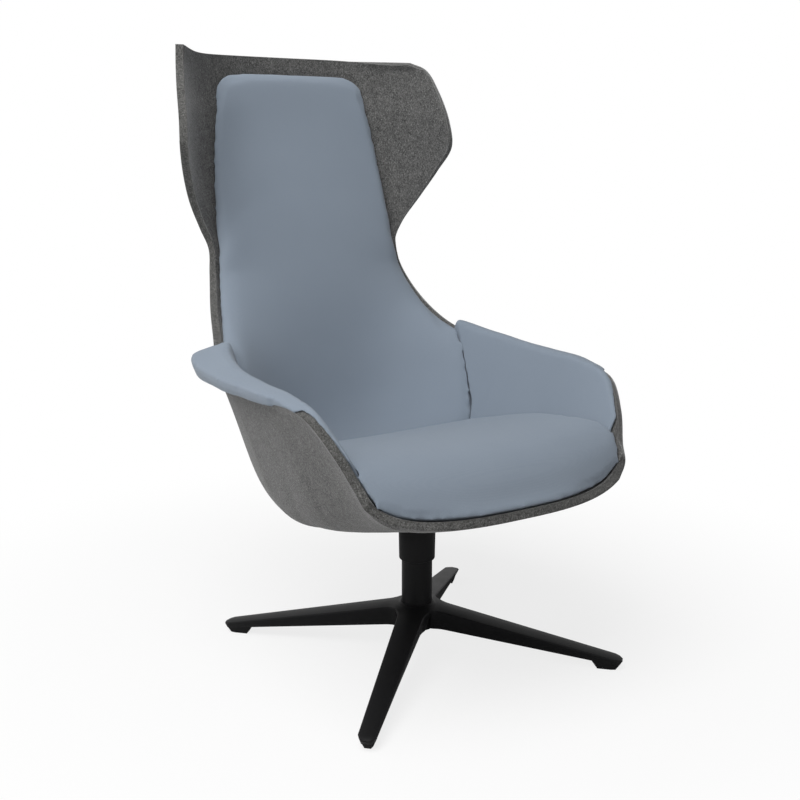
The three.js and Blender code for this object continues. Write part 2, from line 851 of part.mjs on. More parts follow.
function bracketArm(u, v) {
  const lug = skinPoint(u, v);
  const reach = Math.hypot(lug.x, lug.y);
  const right = point(lug.y / reach, -lug.x / reach, 0);
  const section = (distance, halfWidth) => {
    const middle = point((lug.x * distance) / reach, (lug.y * distance) / reach, 0);
    return [[-1, bossFoot], [1, bossFoot], [1, shellHeight], [-1, shellHeight]].map(
      ([side, height]) => middle.clone().addScaledVector(right, side * halfWidth).setZ(height),
    );
  };
  return loftSolid([
    section(0, bracketArmRoot),
    section(reach, bracketArmTip),
    section(reach + bracketArmTip * 0.7, bracketArmTip * 0.7),
    section(reach + bracketArmTip, bracketArmTip * 0.3),
  ]);
}

const armsPlan = lugPlaces
  .map(([u, v]) => bracketArm(u, v))
  .reduce((joined, arm) => joined.add(arm));
const bracketArms = armsPlan.intersect(bracketSlice([liningDepth, bracketTop]));
const boss = rod(bossRadius, bossFoot, shellUnderside + shellHeight / 8, roundSides).subtract(
  bracketSlice([bracketTop, shellHeight / 4]),
);
let bracket = bracketArms
  .add(boss)
  .subtract(rod(spindleRadius + seatGap, bossFoot - cutOverrun, spindleTop + seatGap));

// The four seat screws, turned down through the seat board into the bracket's arms.
const screwSeat = liningDepth + boardThickness - screwHeadHeight - seatGap;
const screwTip = liningDepth + screwTipClearance;
const screwPiece = rod(screwHead, screwSeat + seatGap, screwSeat + seatGap + screwHeadHeight, 16)
  .add(rod(screwRadius, screwTip, screwSeat + screwHeadHeight / 2, 12))
  .subtract(
    rod(screwKey, screwSeat + screwHeadHeight - screwKeyDepth, screwSeat + screwHeadHeight + cutOverrun, 6),
  );
const screwBore = rod(
  screwRadius + seatGap,
  liningDepth - cutOverrun,
  liningDepth + boardThickness + cutOverrun,
  12,
);
const screwPocket = rod(
  screwHead + screwHole,
  screwSeat,
  liningDepth + boardThickness + cutOverrun,
  16,
);
const bossTool = rod(bossRadius + seatGap, bossFoot - cutOverrun, shellHeight / 2, roundSides);
const armsTool = grown(armsPlan, seatGap).intersect(
  bracketSlice([liningDepth - cutOverrun, bracketTop + seatGap]),
);

const shell = shellSolid().subtract(bossTool);
let board = seatBoard
  .subtract(bossTool)
  .subtract(armsTool);
for (const [u, v] of lugPlaces) {
  const frame = skinFrame(u, v);
  bracket = bracket.subtract(placed(screwBore, frame));
  board = board.subtract(placed(screwBore, frame)).subtract(placed(screwPocket, frame));
}

// Swivel column.
const columnTube = ring(columnBore, columnRadius, columnFoot, columnTop, roundSides);
const spindleBottom = columnFoot + spindleFoot;
const bushBore = spindleRadius + seatGap;
const lowerBushFoot = columnFoot + lowerBushRise;
const retainerFoot = lowerBushFoot - seatGap - washerThickness - seatGap;
const clipFoot = retainerFoot - seatGap - clipThickness;
const spindle = rod(spindleRadius, spindleBottom, spindleTop, hiddenSides).subtract(
  ring(
    spindleRadius - clipDepth,
    spindleRadius + cutOverrun,
    clipFoot - seatGap,
    clipFoot + clipThickness + seatGap,
  ),
);
const upperBush = turnedSolid([
  [bushBore, columnTop - bushDepth],
  [columnBore - seatGap, columnTop - bushDepth],
  [columnBore - seatGap, columnTop + seatGap],
  [columnRadius - seatGap, columnTop + seatGap],
  [columnRadius - seatGap, columnTop + seatGap + bushFlange],
  [bushBore, columnTop + seatGap + bushFlange],
], hiddenSides);
const lowerBush = ring(
  bushBore,
  columnBore - seatGap,
  lowerBushFoot,
  lowerBushFoot + lowerBushHeight,
);
const raceOuter = columnRadius - raceInset;
const race = (foot) => ring(spindleRadius + raceInset, raceOuter, foot, foot + washerThickness);
const clip = ring(
  spindleRadius - clipDepth + seatGap,
  spindleRadius - clipDepth + seatGap + clipWidth,
  clipFoot,
  clipFoot + clipThickness,
).subtract(
  solidOf(
    new THREE.BoxGeometry(clipOpening, spindleRadius * 2, clipThickness * 3)
      .translate(0, -spindleRadius, clipFoot),
  ),
);

// Thrust bearing: balls in a cage between two washers.
const ballPlaces = Array.from({ length: ballCount }, (_, index) => {
  const angle = degToRad((360 * index) / ballCount);
  return point(ballPitch * Math.cos(angle), ballPitch * Math.sin(angle), ballHeight);
});
let cage = ring(
  ballPitch - cageHalfWidth,
  ballPitch + cageHalfWidth,
  ballHeight - cageThickness / 2,
  ballHeight + cageThickness / 2,
);
for (const place of ballPlaces) {
  const pocket = rod(ballRadius + seatGap, -cageThickness, cageThickness, hiddenSides / 2);
  cage = cage.subtract(pocket.translate(place.toArray()));
}

// Collar that hides the bearing and turns with the seat.
const collarFoot = columnTop - collarDrop;
const collarBore = bossRadius + seatGap;
const collar = turnedSolid([
  [columnRadius + runningGap, collarFoot],
  [collarBore + collarWall - collarTaper - collarChamfer, collarFoot],
  [collarBore + collarWall - collarTaper, collarFoot + collarChamfer],
  [collarBore + collarWall, collarTop],
  [collarBore, collarTop],
  [collarBore, collarFoot + collarLip],
  [columnRadius + runningGap, collarFoot + collarLip],
]);

// Cast base. A leg is made along +X and turned into place.
const legTop = (r) => lerp(legRootTop, legNoseTop, (r - legRoot) / (legReach - legRoot));
const legUnder = (r) => lerp(legRootUnderside, legNoseUnderside, (r - legRoot) / (legReach - legRoot));
const legHalfWidth = (r) =>
  lerp(legRootHalfWidth, legNoseHalfWidth, (r - legRoot) / (legReach - legRoot));

// Half the width in plan, with the round web between neighbouring legs near the hub.
function legSide(r) {
  const half = legHalfWidth(r);
  const toWeb = half + legFillet - r;
  if (toWeb <= 0) return half;
  const web = half + legFillet - Math.sqrt(Math.max(legFillet ** 2 - toWeb ** 2, 0));
  return Math.min(web, r + legArris);
}

function legSection(r, half, bottom, top) {
  const foot = half * legUnderShare;
  return [
    [-foot, bottom],
    [foot, bottom],
    [half, top - legArris],
    [half - legArris, top],
    [0, top + legCrown * clamp(half / legRootHalfWidth, 0, 1)],
    [legArris - half, top],
    [-half, top - legArris],
  ].map(([side, height]) => point(r, side, height));
}

const noseStart = legReach - noseLength;
const legStations = [
  ...[0.12, 0.4, 0.55, 0.65, 0.75, 0.87, 1].map((share) => legRoot * share),
  lerp(legRoot, noseStart, 0.5),
];
const legBody = loftSolid([
  ...legStations.map((r) => legSection(r, legSide(r), legUnder(r), legTop(r))),
  ...noseShares.map(([along, width, fall, lift]) => {
    const r = noseStart + along * noseLength;
    const depth = legTop(r) - legUnder(r);
    return legSection(r, legHalfWidth(r) * width, legUnder(r) + lift * depth, legTop(r) - fall * depth);
  }),
]);

function legPocket([start, end]) {
  const section = (r) => {
    const top = legHalfWidth(r) - legWall - legArris / 2;
    const foot = legHalfWidth(r) * legUnderShare - legWall;
    const slant = (top - foot) / (legTop(r) - legUnder(r));
    const mouth = foot - slant * cutOverrun;
    return [
      [-mouth, legUnder(r) - cutOverrun],
      [mouth, legUnder(r) - cutOverrun],
      [top - slant * legSkin, legTop(r) - legSkin],
      [slant * legSkin - top, legTop(r) - legSkin],
    ].map(([side, height]) => point(r, side, height));
  };
  const run = legReach - legRoot;
  return loftSolid([section(legRoot + start * run), section(legRoot + end * run)]);
}

const hubBore = columnRadius + seatGap;
const hubRim = hubBore + hubLip;
const hubSkin = hubShares.map(([radius, height]) => [
  lerp(hubRim, hubBelly, radius),
  lerp(hubUnderside, hubTop, height),
]);
const glideEnd = legReach - glideSetback;
const pegPlace = glideEnd - glideLength / 2;
let base = turnedSolid([[0, hubUnderside], ...hubSkin, [0, hubTop]]);
for (let leg = 0; leg < legCount; leg += 1) {
  const turn = new THREE.Matrix4().makeRotationZ(degToRad((360 * (leg + 0.5)) / legCount));
  base = base.add(placed(legBody, turn));
}
for (let leg = 0; leg < legCount; leg += 1) {
  const turn = new THREE.Matrix4().makeRotationZ(degToRad((360 * (leg + 0.5)) / legCount));
  for (const span of legPocketShares) base = base.subtract(placed(legPocket(span), turn));
  const pegHole = rod(
    glidePegRadius + seatGap,
    legUnder(pegPlace) - cutOverrun,
    legUnder(pegPlace) + glidePegHeight + seatGap,
    hiddenSides / 2,
  ).translate([pegPlace, 0, 0]);
  base = base.subtract(placed(pegHole, turn));
}
base = base
  .subtract(rod(hubBore, columnFoot - seatGap, hubTop + cutOverrun, roundSides))
  .subtract(rod(hubOpening, hubUnderside - cutOverrun, columnFoot, hiddenSides));

// Glide under the nose of a leg, with a flat foot and a peg that is pushed into the leg. Its
// sides and toe carry on the slopes of the leg.
function glideSection([along, rise, width]) {
  const r = lerp(glideEnd - glideLength, glideEnd, along);
  const top = legUnder(r) - seatGap;
  const half = legHalfWidth(r) * legUnderShare * width;
  const foot = half - (top - top * rise) * glideDraft;
  return [
    [-foot, top * rise],
    [foot, top * rise],
    [half, top],
    [-half, top],
  ].map(([side, height]) => point(r, side, height));
}

const glidePegFoot = legUnder(glideEnd) / 2;
const glide = loftSolid(glideShares.map(glideSection)).add(
  rod(glidePegRadius, glidePegFoot, legUnder(pegPlace) + glidePegHeight, hiddenSides / 2)
    .translate([pegPlace, 0, 0]),
);

addPiece("felt_shell", shell, "felt");
addPiece("seat_board", board, "plywood");
addPiece("back_board", backBoard, "plywood");
addPiece("arm_board_right", armBoard, "plywood");
addPiece("arm_board_left", armBoard, "plywood", true);
addPiece("arm_pad_right", armPad, "fabric");
addPiece("arm_pad_left", armPad, "fabric", true);
addPiece("back_pad", backPad, "fabric");
addPiece("seat_cushion", seatCushion, "fabric");
addPiece("star_base", base, "casting");
addPiece("column_tube", columnTube, "casting");
addPiece("collar_cover", collar, "plastic");
addPiece("seat_bracket", bracket, "casting");
addPiece("spindle", spindle, "steel");
addPiece("upper_bush", upperBush, "bush");
addPiece("lower_bush", lowerBush, "bush");
addPiece("thrust_washer_lower", race(bearingFoot), "steel");
addPiece("thrust_washer_upper", race(bearingHead), "steel");
addPiece("ball_cage", cage, "bush");
addPiece("retaining_washer", ring(
  bushBore,
  bushBore + retainerWidth,
  retainerFoot,
  retainerFoot + washerThickness,
), "steel");
addPiece("retaining_clip", clip, "steel");

ballPlaces.forEach((place, index) => {
  const ball = addPiece(`bearing_ball_${index + 1}`, new THREE.SphereGeometry(ballRadius, 8, 6), "steel");
  ball.rotation.x = degToRad(90);
  ball.position.copy(place);
});
lugPlaces.forEach(([u, v], index) => {
  addPiece(`seat_screw_${index + 1}`, screwPiece, "steel").applyMatrix4(skinFrame(u, v));
});
for (let leg = 0; leg < legCount; leg += 1) {
  const foot = addPiece(`glide_${leg + 1}`, glide, "plastic");
  foot.rotation.z = degToRad((360 * (leg + 0.5)) / legCount);
}

const assembly = new THREE.Group();
assembly.add(chair);
chair.position.y = (shellFront - shellBack) / 2;

export default assembly;
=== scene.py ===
"""Acoustic high back lounge chair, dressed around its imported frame.

The felt shell, the pads and the visible parts of the base are built here in metres, in the
frame's own coordinates. Every piece rides on the body that carries it. The pieces inside the
chair stay as packed and get their own finishes.
"""

import logging
import math
from dataclasses import dataclass, field
from enum import Enum
from typing import Any, Callable

import bmesh
import bpy
import numpy as np
from mathutils import Matrix, Vector


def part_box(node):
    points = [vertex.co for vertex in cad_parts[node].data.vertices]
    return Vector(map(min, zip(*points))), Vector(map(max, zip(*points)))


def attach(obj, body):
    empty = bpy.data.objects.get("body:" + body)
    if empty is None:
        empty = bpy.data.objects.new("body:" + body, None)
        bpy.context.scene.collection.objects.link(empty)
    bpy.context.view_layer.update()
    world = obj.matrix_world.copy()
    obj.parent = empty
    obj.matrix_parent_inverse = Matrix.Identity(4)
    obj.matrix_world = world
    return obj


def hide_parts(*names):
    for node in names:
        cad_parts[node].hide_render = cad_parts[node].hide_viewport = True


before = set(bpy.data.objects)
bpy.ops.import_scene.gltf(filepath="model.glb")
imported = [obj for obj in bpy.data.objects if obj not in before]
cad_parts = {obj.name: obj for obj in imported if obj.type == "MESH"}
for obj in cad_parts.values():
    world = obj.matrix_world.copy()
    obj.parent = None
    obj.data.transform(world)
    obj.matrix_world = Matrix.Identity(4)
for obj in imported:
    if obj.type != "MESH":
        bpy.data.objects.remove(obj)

log = logging.getLogger("lounge_chair")
Array = np.ndarray
Place = Callable[[Array, Array, Array], Array]
Colour = tuple[float, float, float]

WELD = 1e-6
FLAT = math.radians(0.6)


class Body(Enum):
    """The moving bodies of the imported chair."""

    BASE = "base"
    CAGE = "bearing_cage"
    SEAT = "seat"


class Slot(Enum):
    """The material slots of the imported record."""

    FELT = "felt"
    UPHOLSTERY = "upholstery"
    CASTING = "casting"
    COLUMN = "column"
    PLASTIC = "black_plastic"
    STEEL = "steel"
    PLYWOOD = "plywood"
    BEARING = "bearing_plastic"


def lerp(low: Any, high: Any, share: Any) -> Any:
    """Returns the value at a share of the way from low to high."""
    return low + (high - low) * share


def unit(vectors: Array) -> Array:
    """Returns the vectors at length one."""
    return vectors / np.linalg.norm(vectors, axis=-1, keepdims=True)


class Signal:
    """A shader socket that takes part in Python expressions."""

    def __init__(self, kit: "NodeKit", socket: Any) -> None:
        self.kit = kit
        self.socket = socket

    def _maths(self, operation: str, *values: Any) -> "Signal":
        """Returns a Math node's result."""
        return self.kit.node("ShaderNodeMath", {"operation": operation}, dict(enumerate(values)))

    def __add__(self, other: Any) -> "Signal":
        """Returns the sum."""
        return self._maths("ADD", self, other)

    __radd__ = __add__

    def __sub__(self, other: Any) -> "Signal":
        """Returns the difference."""
        return self._maths("SUBTRACT", self, other)

    def __rsub__(self, other: Any) -> "Signal":
        """Returns the difference, turned round."""
        return self._maths("SUBTRACT", other, self)

    def __mul__(self, other: Any) -> "Signal":
        """Returns the product."""
        return self._maths("MULTIPLY", self, other)

    __rmul__ = __mul__

    def smooth(self, low: float, high: float) -> "Signal":
        """Returns a smooth step from 0 at low to 1 at high."""
        return self.kit.node(
            "ShaderNodeMapRange",
            {"interpolation_type": "SMOOTHSTEP"},
            {"Value": self, "From Min": low, "From Max": high, "To Min": 0.0, "To Max": 1.0},
        )


class NodeKit:
    """One material, or the world, and the nodes that are added to it."""

    def __init__(self, owner: Any) -> None:
        """Empties the owner's node tree.

        Args:
            owner: A material or a world.
        """
        owner.use_nodes = True
        self.owner = owner
        self.tree = owner.node_tree
        self.tree.nodes.clear()

    def node(
        self,
        kind: str,
        settings: dict[str, Any] | None = None,
        sockets: dict[Any, Any] | None = None,
        output: Any = 0,
    ) -> Signal:
        """Adds one node.

        Args:
            kind: The node's type.
            settings: Its properties, set first.
            sockets: Values or signals by input name or index.
            output: The name or index of the output to return.

        Returns:
            The chosen output.
        """
        made = self.tree.nodes.new(kind)
        for key, value in (settings or {}).items():
            setattr(made, key, value)
        for key, value in (sockets or {}).items():
            if isinstance(value, Signal):
                self.tree.links.new(value.socket, made.inputs[key])
            else:
                made.inputs[key].default_value = self._fitted(made.inputs[key], value)
        return Signal(self, made.outputs[output] if len(made.outputs) else None)

    @staticmethod
    def _fitted(socket: Any, value: Any) -> Any:
        """Returns a colour with its fourth number where the socket is a colour."""
        if socket.type == "RGBA" and len(value) == 3:
            return (*value, 1.0)
        return value

    def place(self) -> Signal:
        """Returns the object coordinates."""
        return self.node("ShaderNodeTexCoord", output="Object")

    def moved(self, vector: Signal, scale: Any, turn: Any = (0, 0, 0)) -> Signal:
        """Returns coordinates that are stretched and turned."""
        turned = tuple(math.radians(angle) for angle in turn)
        return self.node(
            "ShaderNodeMapping", None, {"Vector": vector, "Scale": scale, "Rotation": turned}
        )

    def noise(
        self, vector: Signal, scale: float, detail: float = 2.0, rough: float = 0.5
    ) -> Signal:
        """Returns a noise from 0 to 1."""
        sockets = {"Vector": vector, "Scale": scale, "Detail": detail, "Roughness": rough}
        return self.node("ShaderNodeTexNoise", None, sockets)

    def mix(self, share: Any, low: Any, high: Any) -> Signal:
        """Returns a colour between two colours."""
        return self.node(
            "ShaderNodeMix", {"data_type": "RGBA"}, {0: share, 6: low, 7: high}, output=2
        )

    def bump(self, height: Signal, distance: float, strength: float = 1.0) -> Signal:
        """Returns a normal that is tilted by a height.

        Args:
            height: The height as a share of distance.
            distance: The relief, in metres.
            strength: How much of it shows.
        """
        return self.node(
            "ShaderNodeBump", None, {"Height": height, "Distance": distance, "Strength": strength}
        )

    def surface(self, **sockets: Any) -> None:
        """Adds the shader and the output. Names are the sockets' own, with _ for a space."""
        named = {key.replace("_", " "): value for key, value in sockets.items()}
        shader = self.node("ShaderNodeBsdfPrincipled", None, named)
        self.node("ShaderNodeOutputMaterial", None, {"Surface": shader})


class Finish:
    """A procedural finish. Each kind describes one material of the chair."""

    name = "finish"

    def material(self) -> bpy.types.Material:
        """Returns the finish as a material, made once."""
        found = bpy.data.materials.get(self.name)
        if found is not None:
            return found
        made = bpy.data.materials.new(self.name)
        self.dress(NodeKit(made))
        return made

    def dress(self, kit: NodeKit) -> None:
        """Adds the finish's own nodes."""
        raise NotImplementedError


@dataclass(frozen=True)
class PressedFelt(Finish):
    """Moulded polyester felt: a grey mottle of light and dark fibres."""

    name: str = "pressed_felt"
    dark: Colour = (0.042, 0.042, 0.0415)
    middle: Colour = (0.152, 0.151, 0.148)
    light: Colour = (0.33, 0.33, 0.32)
    blotch_scale: float = 60.0
    grain_scale: float = 330.0
    fibre_scale: float = 620.0
    fibre_stretch: float = 0.34
    fibre_blur: float = 0.08
    blotch_share: float = 0.25
    dark_share: float = 0.5
    light_share: float = 0.45
    relief: float = 0.0006

    def fibres(self, kit: NodeKit, place: Signal, turn: Colour, low: float) -> Signal:
        """Returns thin fibres that lie along one direction.

        Args:
            kit: The material's nodes.
            place: The object coordinates.
            turn: The direction, in degrees about the three axes.
            low: The noise level above which a fibre shows.
        """
        stretched = kit.moved(place, (1.0, 1.0, self.fibre_stretch), turn)
        return kit.noise(stretched, self.fibre_scale, 1.0).smooth(low, low + self.fibre_blur)

    def dress(self, kit: NodeKit) -> None:
        """Mixes blotches, grain and fibres into the colour, and raises them a little."""
        place = kit.place()
        blotch = kit.noise(place, self.blotch_scale, 2.0, 0.6).smooth(0.3, 0.7)
        grain = kit.noise(place, self.grain_scale, 3.0, 0.75).smooth(0.36, 0.64)
        mottle = blotch * self.blotch_share + grain * (1.0 - self.blotch_share)
        colour = kit.mix(mottle, self.dark, self.middle)
        lights = self.fibres(kit, place, (35, 20, 0), 0.63) + self.fibres(
            kit, place, (-40, 65, 15), 0.64
        )
        darks = self.fibres(kit, place, (80, -30, 40), 0.62)
        colour = kit.mix(darks * self.dark_share, colour, self.dark)
        colour = kit.mix(lights * self.light_share, colour, self.light)
        height = grain * 0.5 + lights * 0.5
        kit.surface(
            Base_Color=colour,
            Roughness=0.95,
            Normal=kit.bump(height, self.relief, 0.5),
            Sheen_Weight=0.35,
            Sheen_Roughness=0.4,
            Specular_IOR_Level=0.2,
        )


@dataclass(frozen=True)
class WovenCover(Finish):
    """Plain fine woven cloth, blue-grey, over foam."""

    name: str = "woven_cover"
    colour: Colour = (0.225, 0.268, 0.325)
    thread: Colour = (0.27, 0.315, 0.372)
    pitch: float = 0.0013
    tone_scale: float = 9.0
    slub_scale: float = 180.0
    weave_share: float = 0.12
    tone_share: float = 0.3
    slub_share: float = 0.25
    relief: float = 0.00012

    def dress(self, kit: NodeKit) -> None:
        """Lays warp and weft along the planes that face the surface."""
        place = kit.place()
        turns = math.tau / self.pitch
        axes = [
            kit.node("ShaderNodeSeparateXYZ", None, {0: place}, output=axis) for axis in range(3)
        ]
        waves = [
            kit.node("ShaderNodeMath", {"operation": "SINE"}, {0: axis * turns}) for axis in axes
        ]
        weave = waves[0] * waves[2] + waves[0] * waves[1] + waves[1] * waves[2]
        tone = kit.noise(place, self.tone_scale)
        slub = kit.noise(kit.moved(place, (1, 1, 6)), self.slub_scale)
        share = weave * self.weave_share + tone * self.tone_share + slub * self.slub_share
        kit.surface(
            Base_Color=kit.mix(share, self.colour, self.thread),
            Roughness=0.9,
            Normal=kit.bump(weave * 0.5 + slub * 0.5, self.relief, 0.6),
            Sheen_Weight=0.15,
            Sheen_Roughness=0.5,
            Specular_IOR_Level=0.2,
        )


@dataclass(frozen=True)
class Coat(Finish):
    """A satin black coat or moulding with a fine orange-peel skin."""

    name: str = "powder_coat"
    colour: Colour = (0.009, 0.009, 0.0095)
    roughness: float = 0.46
    grain_scale: float = 1400.0
    relief: float = 0.00004
    gloss: float = 0.08

    def dress(self, kit: NodeKit) -> None:
        """Varies the gloss slightly and gives the skin its grain."""
        place = kit.place()
        grain = kit.noise(place, self.grain_scale, 2.0)
        handled = kit.noise(place, 22.0, 2.0)
        kit.surface(
            Base_Color=kit.mix(handled * 0.4, self.colour, tuple(1.6 * c for c in self.colour)),
            Roughness=handled * 0.1 + (self.roughness - 0.05),
            Normal=kit.bump(grain, self.relief, 0.5),
            Specular_IOR_Level=self.gloss,
        )


@dataclass(frozen=True)
class TurnedSteel(Finish):
    """Bright turned steel with fine rings."""

    name: str = "turned_steel"
    colour: Colour = (0.56, 0.56, 0.57)

    def dress(self, kit: NodeKit) -> None:
        """Adds the turning marks."""
        place = kit.place()
        rings = kit.noise(kit.moved(place, (1, 1, 30)), 160.0, 2.0)
        kit.surface(
            Base_Color=kit.mix(rings * 0.5, self.colour, tuple(0.7 * c for c in self.colour)),
            Metallic=1.0,
            Roughness=rings * 0.2 + 0.2,
            Normal=kit.bump(rings, 0.00003, 0.4),
        )


@dataclass(frozen=True)
class BeechPly(Finish):
    """Moulded beech plywood with a fine straight grain."""

    name: str = "beech_ply"
    pale: Colour = (0.56, 0.38, 0.21)
    brown: Colour = (0.4, 0.24, 0.12)

    def dress(self, kit: NodeKit) -> None:
        """Runs the grain from side to side, with short dark flecks."""
        place = kit.place()
        grain = kit.noise(kit.moved(place, (4, 60, 60)), 6.0, 4.0, 0.6)
        flecks = kit.noise(kit.moved(place, (60, 500, 500)), 1.6, 1.0).smooth(0.66, 0.74)
        colour = kit.mix(grain.smooth(0.3, 0.7), self.pale, self.brown)
        kit.surface(
            Base_Color=kit.mix(flecks * 0.5, colour, self.brown),
            Roughness=0.6,
            Normal=kit.bump(grain, 0.0001, 0.4),
        )


@dataclass(frozen=True)
class Acetal(Finish):
    """Natural acetal, turned or moulded."""

    name: str = "acetal"
    colour: Colour = (0.74, 0.72, 0.66)

    def dress(self, kit: NodeKit) -> None:
        """Gives the milky plastic a faint unevenness."""
        place = kit.place()
        milk = kit.noise(place, 60.0, 2.0)
        kit.surface(
            Base_Color=kit.mix(milk, self.colour, tuple(0.9 * c for c in self.colour)),
            Roughness=milk * 0.1 + 0.3,
            Normal=kit.bump(milk, 0.00005, 0.3),
        )


FELT = PressedFelt()
CUT_FELT = PressedFelt(
    name="cut_felt", dark=(0.04, 0.04, 0.039), middle=(0.14, 0.139, 0.134), light=(0.32, 0.32, 0.31)
)
COVER = WovenCover()
POWDER = Coat()
TUBE_COAT = Coat(name="tube_coat", roughness=0.38)
NYLON = Coat(
    name="moulded_nylon",
    colour=(0.011, 0.011, 0.0115),
    roughness=0.52,
    grain_scale=900.0,
    relief=0.00006,
)
STEEL = TurnedSteel()
PLY = BeechPly()
ACETAL = Acetal()


class Curve:
    """A smooth line through points, keyed evenly from 0 at its first point to 1 at its last."""

    TINY = 1e-4

    def __init__(self, points: Array) -> None:
        """Adds a point beyond each end, so that the line has a direction there."""
        self.points = np.vstack(
            [2 * points[0] - points[1], points, 2 * points[-1] - points[-2]]
        )

    def at(self, key: Array) -> Array:
        """Returns the points at the keys."""
        spans = len(self.points) - 3
        place = np.clip(np.asarray(key, float), 0, 1) * spans
        start = np.minimum(place.astype(int), spans - 1)
        t = (place - start)[..., None]
        p0, p1, p2, p3 = (self.points[start + step] for step in range(4))
        d0, d1, d2 = (
            np.sqrt(np.linalg.norm(b - a, axis=-1, keepdims=True))
            for a, b in ((p0, p1), (p1, p2), (p2, p3))
        )
        d1 = np.where(d1 < self.TINY, 1.0, d1)
        d0 = np.where(d0 < self.TINY, d1, d0)
        d2 = np.where(d2 < self.TINY, d1, d2)
        m1 = ((p1 - p0) / d0 - (p2 - p0) / (d0 + d1) + (p2 - p1) / d1) * d1
        m2 = ((p2 - p1) / d1 - (p3 - p1) / (d1 + d2) + (p3 - p2) / d2) * d1
        square = 3 * (p2 - p1) - 2 * m1 - m2
        cube = 2 * (p1 - p2) + m1 + m2
        return p1 + t * m1 + t * t * square + t**3 * cube


class Table:
    """Reads rows of a key and a value on a smooth line through the rows."""

    def __init__(self, *rows: tuple[float, float]) -> None:
        """Takes the rows in the order of their keys."""
        self.keys, self.values = np.array(rows, float).T
        ends = np.arange(len(rows))
        before, after = np.maximum(ends - 1, 0), np.minimum(ends + 1, len(rows) - 1)
        self.slopes = (self.values[after] - self.values[before]) / (
            self.keys[after] - self.keys[before]
        )

    def at(self, key: Array) -> Array:
        """Returns the values at the keys."""
        key = np.clip(np.asarray(key, float), self.keys[0], self.keys[-1])
        right = np.clip(np.searchsorted(self.keys, key), 1, len(self.keys) - 1)
        left = right - 1
        width = self.keys[right] - self.keys[left]
        t = (key - self.keys[left]) / width
        flat = lerp(self.values[left], self.values[right], t * t * (3 - 2 * t))
        bend = t * (1 - t) ** 2 * self.slopes[left] + t * t * (t - 1) * self.slopes[right]
        return flat + bend * width


class Blank:
    """A closed block of quads that is shaped point by point.

    Its points are keyed from 0 to 1 in three directions.
    """

    def __init__(self, columns: int, rows: int, layers: int) -> None:
        """Cuts a cube into columns, rows and layers."""
        self.bm = bmesh.new()
        bmesh.ops.create_cube(self.bm, size=1.0)
        for axis, cuts in enumerate((columns - 1, rows - 1, layers - 1)):
            if cuts > 0:
                bmesh.ops.subdivide_edges(
                    self.bm, edges=self._edges_along(axis), cuts=cuts, use_grid_fill=True
                )

    def _edges_along(self, axis: int) -> list[Any]:
        """Returns the edges that run along an axis."""
        return [
            edge
            for edge in self.bm.edges
            if abs((edge.verts[0].co - edge.verts[1].co)[axis]) > WELD
        ]

    def mark_sides(self, *axes: int) -> "Blank":
        """Gives the block's outer faces across these axes the second finish."""
        for face in self.bm.faces:
            middle = face.calc_center_median()
            face.material_index = int(any(abs(middle[axis]) > 0.5 - WELD for axis in axes))
        return self

    def shape(self, place: Place) -> "Blank":
        """Moves every point to where place puts its three keys."""
        keys = np.array([vert.co[:] for vert in self.bm.verts]) + 0.5
        for vert, co in zip(self.bm.verts, place(*keys.T)):
            vert.co = co
        return self


def tube_blank(columns: int, around: int, place: Callable[[Array, Array], Array]) -> Any:
    """Makes a closed form from a sheet that is rolled up and capped.

    Args:
        columns: Steps along it.
        around: Steps round it.
        place: Gives the point at a share along and a share round.

    Returns:
        The bmesh.
    """
    bm = bmesh.new()
    bmesh.ops.create_grid(bm, x_segments=columns, y_segments=around, size=0.5)
    keys = np.array([vert.co[:2] for vert in bm.verts]) + 0.5
    for vert, co in zip(bm.verts, place(*keys.T)):
        vert.co = co
    bmesh.ops.remove_doubles(bm, verts=bm.verts, dist=WELD)
    bmesh.ops.holes_fill(bm, edges=[edge for edge in bm.edges if edge.is_boundary], sides=0)
    bmesh.ops.recalc_face_normals(bm, faces=bm.faces)
    return bm


def spun(profile: list[tuple[float, float]], centre: Vector, steps: int = 96) -> Any:
    """Turns a closed profile of radius and height round an upright axis.

    Args:
        profile: The outline in the plane of the axis.
        centre: A point on the axis.
        steps: Faces round it.

    Returns:
        The bmesh.
    """
    bm = bmesh.new()
    verts = [bm.verts.new((centre.x + radius, centre.y, height)) for radius, height in profile]
    edges = [bm.edges.new(pair) for pair in zip(verts, verts[1:] + verts[:1])]
    bmesh.ops.spin(
        bm,
        geom=verts + edges,
        cent=centre,
        axis=(0, 0, 1),
        angle=math.tau,
        steps=steps,
        use_merge=True,
    )
    bmesh.ops.remove_doubles(bm, verts=bm.verts, dist=WELD)
    bmesh.ops.recalc_face_normals(bm, faces=bm.faces)
    return bm


def sharp_edges(bm: Any, degrees: float) -> list[Any]:
    """Returns the edges that fold by more than an angle."""
    limit = math.radians(degrees)
    return [edge for edge in bm.edges if edge.is_manifold and edge.calc_face_angle() > limit]


def round_off(bm: Any, edges: list[Any], radius: float, segments: int = 3) -> None:
    """Rounds edges off."""
    bmesh.ops.bevel(
        bm,
        geom=edges,
        offset=radius,
        offset_type="OFFSET",
        segments=segments,
        profile=0.5,
        affect="EDGES",
        clamp_overlap=True,
        material=-1,
    )


def placed(name: str, data: Any) -> bpy.types.Object:
    """Makes an object of a mesh, a lamp or a camera and puts it in the scene."""
    made = bpy.data.objects.new(name, data)
    bpy.context.scene.collection.objects.link(made)
    return made


